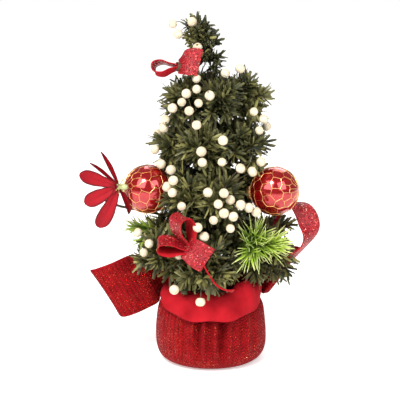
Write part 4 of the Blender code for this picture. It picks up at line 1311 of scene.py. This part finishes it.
# a strip is a loop (tip and bulge), a tail (points) or a route (place, share of the width, the way the
# width points), all in mm from the knot; flip turns its glitter side round
bows = {
    "crownBow": {
        "body": rootBody, "node": "crown_bow", "knot": (-18, -13, 168), "tie": (-2.4, -2.4, 160),
        "strips": [
            {"loop": ((-13.5, -1, -1), 3.4), "across": (-0.2, -1, 0.4), "width": 11, "flip": False},
            {"tail": [(0, 0, 0), (3.5, -3.2, 2), (8, -4.5, 3.5), (12, -4, 2.5)], "pinch": 0.55,
             "across": (0.25, 0.3, 1), "width": 15, "flip": True},
        ],
    },
    "frontBow": {
        "body": "low_front_branch_body", "node": "front_bow", "knot": (-11, -41, 73), "tie": (-6, -36, 64.2),
        "strips": [
            {"loop": ((-6, -3, 19), 4.6), "across": (0.62, -1, -0.1), "width": 13, "flip": True},
            {"loop": ((-18, 0, 3), 3.6), "across": (0, -1, -0.3), "width": 12, "flip": True},
            {"tail": [(-3, -2, 2), (1, -4, 0), (5, -5, -2.5), (9, -4.5, -5)], "pinch": 0.8,
             "across": (0.62, 0, 1), "width": 15, "flip": True},
            {"route": [
                ((0, 0, 0), 0.5, (0.1, -1, 0)), ((5.7, -2, -6.5), 0.8, (0.15, -1, 0)),
                ((8.6, -2, -12), 1, (0.15, -1, 0.1)), ((13, -2, -18.5), 1, (0.1, -1, 0.1)),
                ((18, -2, -21.8), 1, (0, -1, 0.3)), ((23, -1, -22.6), 0.9, (0, -1, 0.5)),
            ], "width": 7, "flip": True},
        ],
    },
    "sideBow": {
        "body": "low_right_branch_body", "node": "side_bow", "knot": (35, 1, 77), "tie": (33, -7, 70.5),
        "strips": [
            {"route": [
                ((0, 0.6, 0.8), 0.45, (0, -1, 0)), ((5, 1, 8), 0.8, (-0.3, -1, 0.2)),
                ((10, -4, 13.5), 1, (-0.8, -0.8, 0.2)), ((16, -9, 11), 1, (-1, -0.5, -0.1)),
                ((19.5, -13, 3.5), 1, (-1, -0.4, -0.2)), ((18, -16, -5), 1, (-0.5, -1, 0.2)),
                ((13, -17, -11.5), 1, (0, -1, 0.5)), ((7, -15, -13.5), 0.95, (0.1, -1, 0.6)),
                ((2, -8, -8), 0.8, (0, -1, 0.3)), ((0, -0.6, -0.8), 0.45, (0, -1, 0)),
            ], "width": 13, "flip": False},
            {"tail": [(0, 0, 0), (4, 3, 6), (9, 5, 12), (14, 4, 15)], "pinch": 0.6,
             "across": (0, -1, 0), "width": 10, "flip": True},
        ],
    },
}


def ribbonLoop(knot, tip, bulge, across, pinch):
    # out along one side of the loop and back along the other, which stay a little apart in the knot
    half = [(0.0, 0.7), (0.3, 0.5 * bulge), (0.62, bulge), (0.92, 0.75 * bulge)]
    plan = [*half, (1.0, 0.0), *((t, -apart) for t, apart in reversed(half))]
    lift = tip.cross(across).normalized()
    path = smoothRoute([(knot + tip * t + lift * apart) * mm for t, apart in plan], 5)
    last = len(path) - 1
    bow = [math.sin(math.pi * i / last) for i in range(last + 1)]
    return path, [pinch + (1 - pinch) * each**0.6 for each in bow], [across] * (last + 1)


def ribbonRoute(knot, plan):
    # plan: place from the knot, share of the full width, the way the width points
    path = smoothRoute([(knot + Vector(place)) * mm for place, *_ in plan], 6)
    shares = [max(0.05, n) for n in smoothNumbers([share for _, share, _ in plan], 6)]
    return path, shares, smoothRoute([Vector(way) for *_, way in plan], 6)


def ribbonTail(knot, points, across, pinch):
    path = smoothRoute([(knot + Vector(p)) * mm for p in points], 6)
    last = len(path) - 1
    return path, [pinch + (1 - pinch) * min(1.0, 2.2 * i / last) for i in range(last + 1)], [across] * (last + 1)


def ribbonPath(knot, strip):
    # the middle line of a strip, its share of the full width and the way its width points
    if "route" in strip:
        return ribbonRoute(knot, strip["route"])
    across = Vector(strip["across"])
    if "loop" in strip:
        tip, bulge = strip["loop"]
        return ribbonLoop(knot, Vector(tip), bulge, across, 0.4)
    return ribbonTail(knot, strip["tail"], across, strip["pinch"])


def makeRibbon(name, look, bow):
    body, node, knot = bow["body"], bow["node"], Vector(bow["knot"])
    pieces, sides = [], [ribbonMaterial, feltRed]
    for number, strip in enumerate(bow["strips"]):
        path, shares, tilts = ribbonPath(knot, strip)
        width = strip["width"] * mm
        widths = [width * share for share in shares]
        pleats = {"cup": look["cup"], "pleats": look["pleats"], "pleatDepth": look["pleatDepth"] * mm}
        rows = stripRows(path, widths, tilts, look["columns"], **pleats)
        if strip["flip"]:
            rows = [list(reversed(row)) for row in rows]
        pieces.append(clothSheet(f"{name}Strip{number}", rows, False, look["thickness"] * mm, sides, offset=0.0))
    deselectAll()
    for piece in pieces:
        piece.select_set(True)
    bpy.context.view_layer.objects.active = pieces[0]
    if len(pieces) > 1:
        bpy.ops.object.join()
    ribbonPiece = pieces[0]
    ribbonPiece.name = name + "Ribbon"
    finishPiece(ribbonPiece, body, sides, [node])
    makeKnot(name, body, look, knot * mm, Vector(bow["tie"]) * mm)


def makeKnot(name, body, look, middle, end):
    # turns of wire draw the ribbon in and run back to the branch
    parts = MeshParts()
    away = (end - middle).normalized()
    side = away.orthogonal().normalized()
    other = away.cross(side)
    coil = []
    steps = 14 * look["turns"]
    for i in range(steps + 1):
        turn = math.tau * i / 14
        out = (side * math.cos(turn) + other * math.sin(turn)) * look["coilRadius"] * mm
        coil.append(middle + out + away * (i / steps - 0.5) * look["coilLength"] * mm)
    addTube(parts, coil, look["wire"] * mm, 6, 0)
    back = smoothRoute([coil[-1], middle.lerp(end, 0.4) + other * 0.6 * mm, end], 8)
    addTube(parts, back, 1.05 * look["wire"] * mm, 6, 0)
    points, faces = berryShape
    parts.add([middle + p * look["knotRadius"] * mm for p in points], faces, 1)
    piece = parts.build(name + "TieWire")
    smoothShade(piece, 50)
    finishPiece(piece, body, [plain["twistedWire"], ribbonMaterial])


for name, bow in bows.items():
    makeRibbon(name, ribbon, bow)


# ---- the knot of the cloth bow and the cord round the neck
def makeClothKnot():
    low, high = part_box("bag_bow_knot")
    middle = (low + high) / 2
    size = (high - low) / 2
    deselectAll()
    bpy.ops.mesh.primitive_uv_sphere_add(segments=48, ring_count=28, radius=1)
    piece = bpy.context.object
    piece.name = "clothBowKnot"
    for vertex in piece.data.vertices:
        p = vertex.co
        around = math.atan2(p.y, p.x)
        pleat = 1 + 0.07 * math.cos(around * 7 + p.z * 1.5) * (1 - abs(p.z)) ** 0.3
        square = 1 / max(abs(math.cos(around)), abs(math.sin(around))) ** 0.45
        rise = max(-1.0, min(1.0, p.z * 1.25))
        vertex.co = middle + Vector((p.x * size.x * pleat * square, p.y * size.y * pleat * square, rise * size.z))
    layer = piece.data.uv_layers.active.data
    for corner in layer:
        corner.uv = (corner.uv[0] * 0.034, corner.uv[1] * 0.014)
    smoothShade(piece)
    finishPiece(piece, rootBody, [bowMaterial], ["bag_bow_knot"])


neckCord = {"thickness": 2.2, "strand": 0.58, "apart": 0.5, "lay": 46, "steps": 180, "sides": 8}


def makeNeckCord(look):
    # two strands laid round each other, closed into a ring
    low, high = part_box("neck_tie")
    ring, level = (high.x - low.x - look["thickness"] * mm) / 2, (low.z + high.z) / 2
    parts = MeshParts()
    count, sides = look["steps"], look["sides"]
    for start in (0, math.pi):
        points = []
        for i in range(count):
            around = math.tau * i / count
            out = Vector((math.cos(around), math.sin(around), 0))
            twist, apart = around * look["lay"] / 2 + start, look["apart"] * mm
            centre = out * (ring + apart * math.cos(twist)) + up * (level + apart * math.sin(twist))
            for k in range(sides):
                a = math.tau * k / sides
                points.append(centre + (out * math.cos(a) + up * math.sin(a)) * look["strand"] * mm)
        faces = []
        for i in range(count):
            here, following = i * sides, (i + 1) % count * sides
            for k in range(sides):
                j = (k + 1) % sides
                faces.append((following + k, following + j, here + j, here + k))
        parts.add(points, faces)
    piece = parts.build("neckCord")
    smoothShade(piece)
    finishPiece(piece, rootBody, [feltDark], ["neck_tie"])


makeClothKnot()
makeNeckCord(neckCord)
print("bows, knot and cord made")


# ---- pieces whose shape is the real one already: only their finish changes
finishes = {
    "stemTape": ["trunk_stem", "low_binding", "middle_binding", "high_binding", "crown_binding"],
    "cupPlastic": ["base_cup"], "castPlaster": ["ballast_weight"],
    "twistedWire": ["left_bauble_wire", "right_bauble_wire", "flower_stem"],
}
for finish, nodes in finishes.items():
    for node in nodes:
        materials = frame["nodes"][node].data.materials
        materials.clear()
        materials.append(plain[finish])
print("frame pieces finished:", sum(len(nodes) for nodes in finishes.values()))
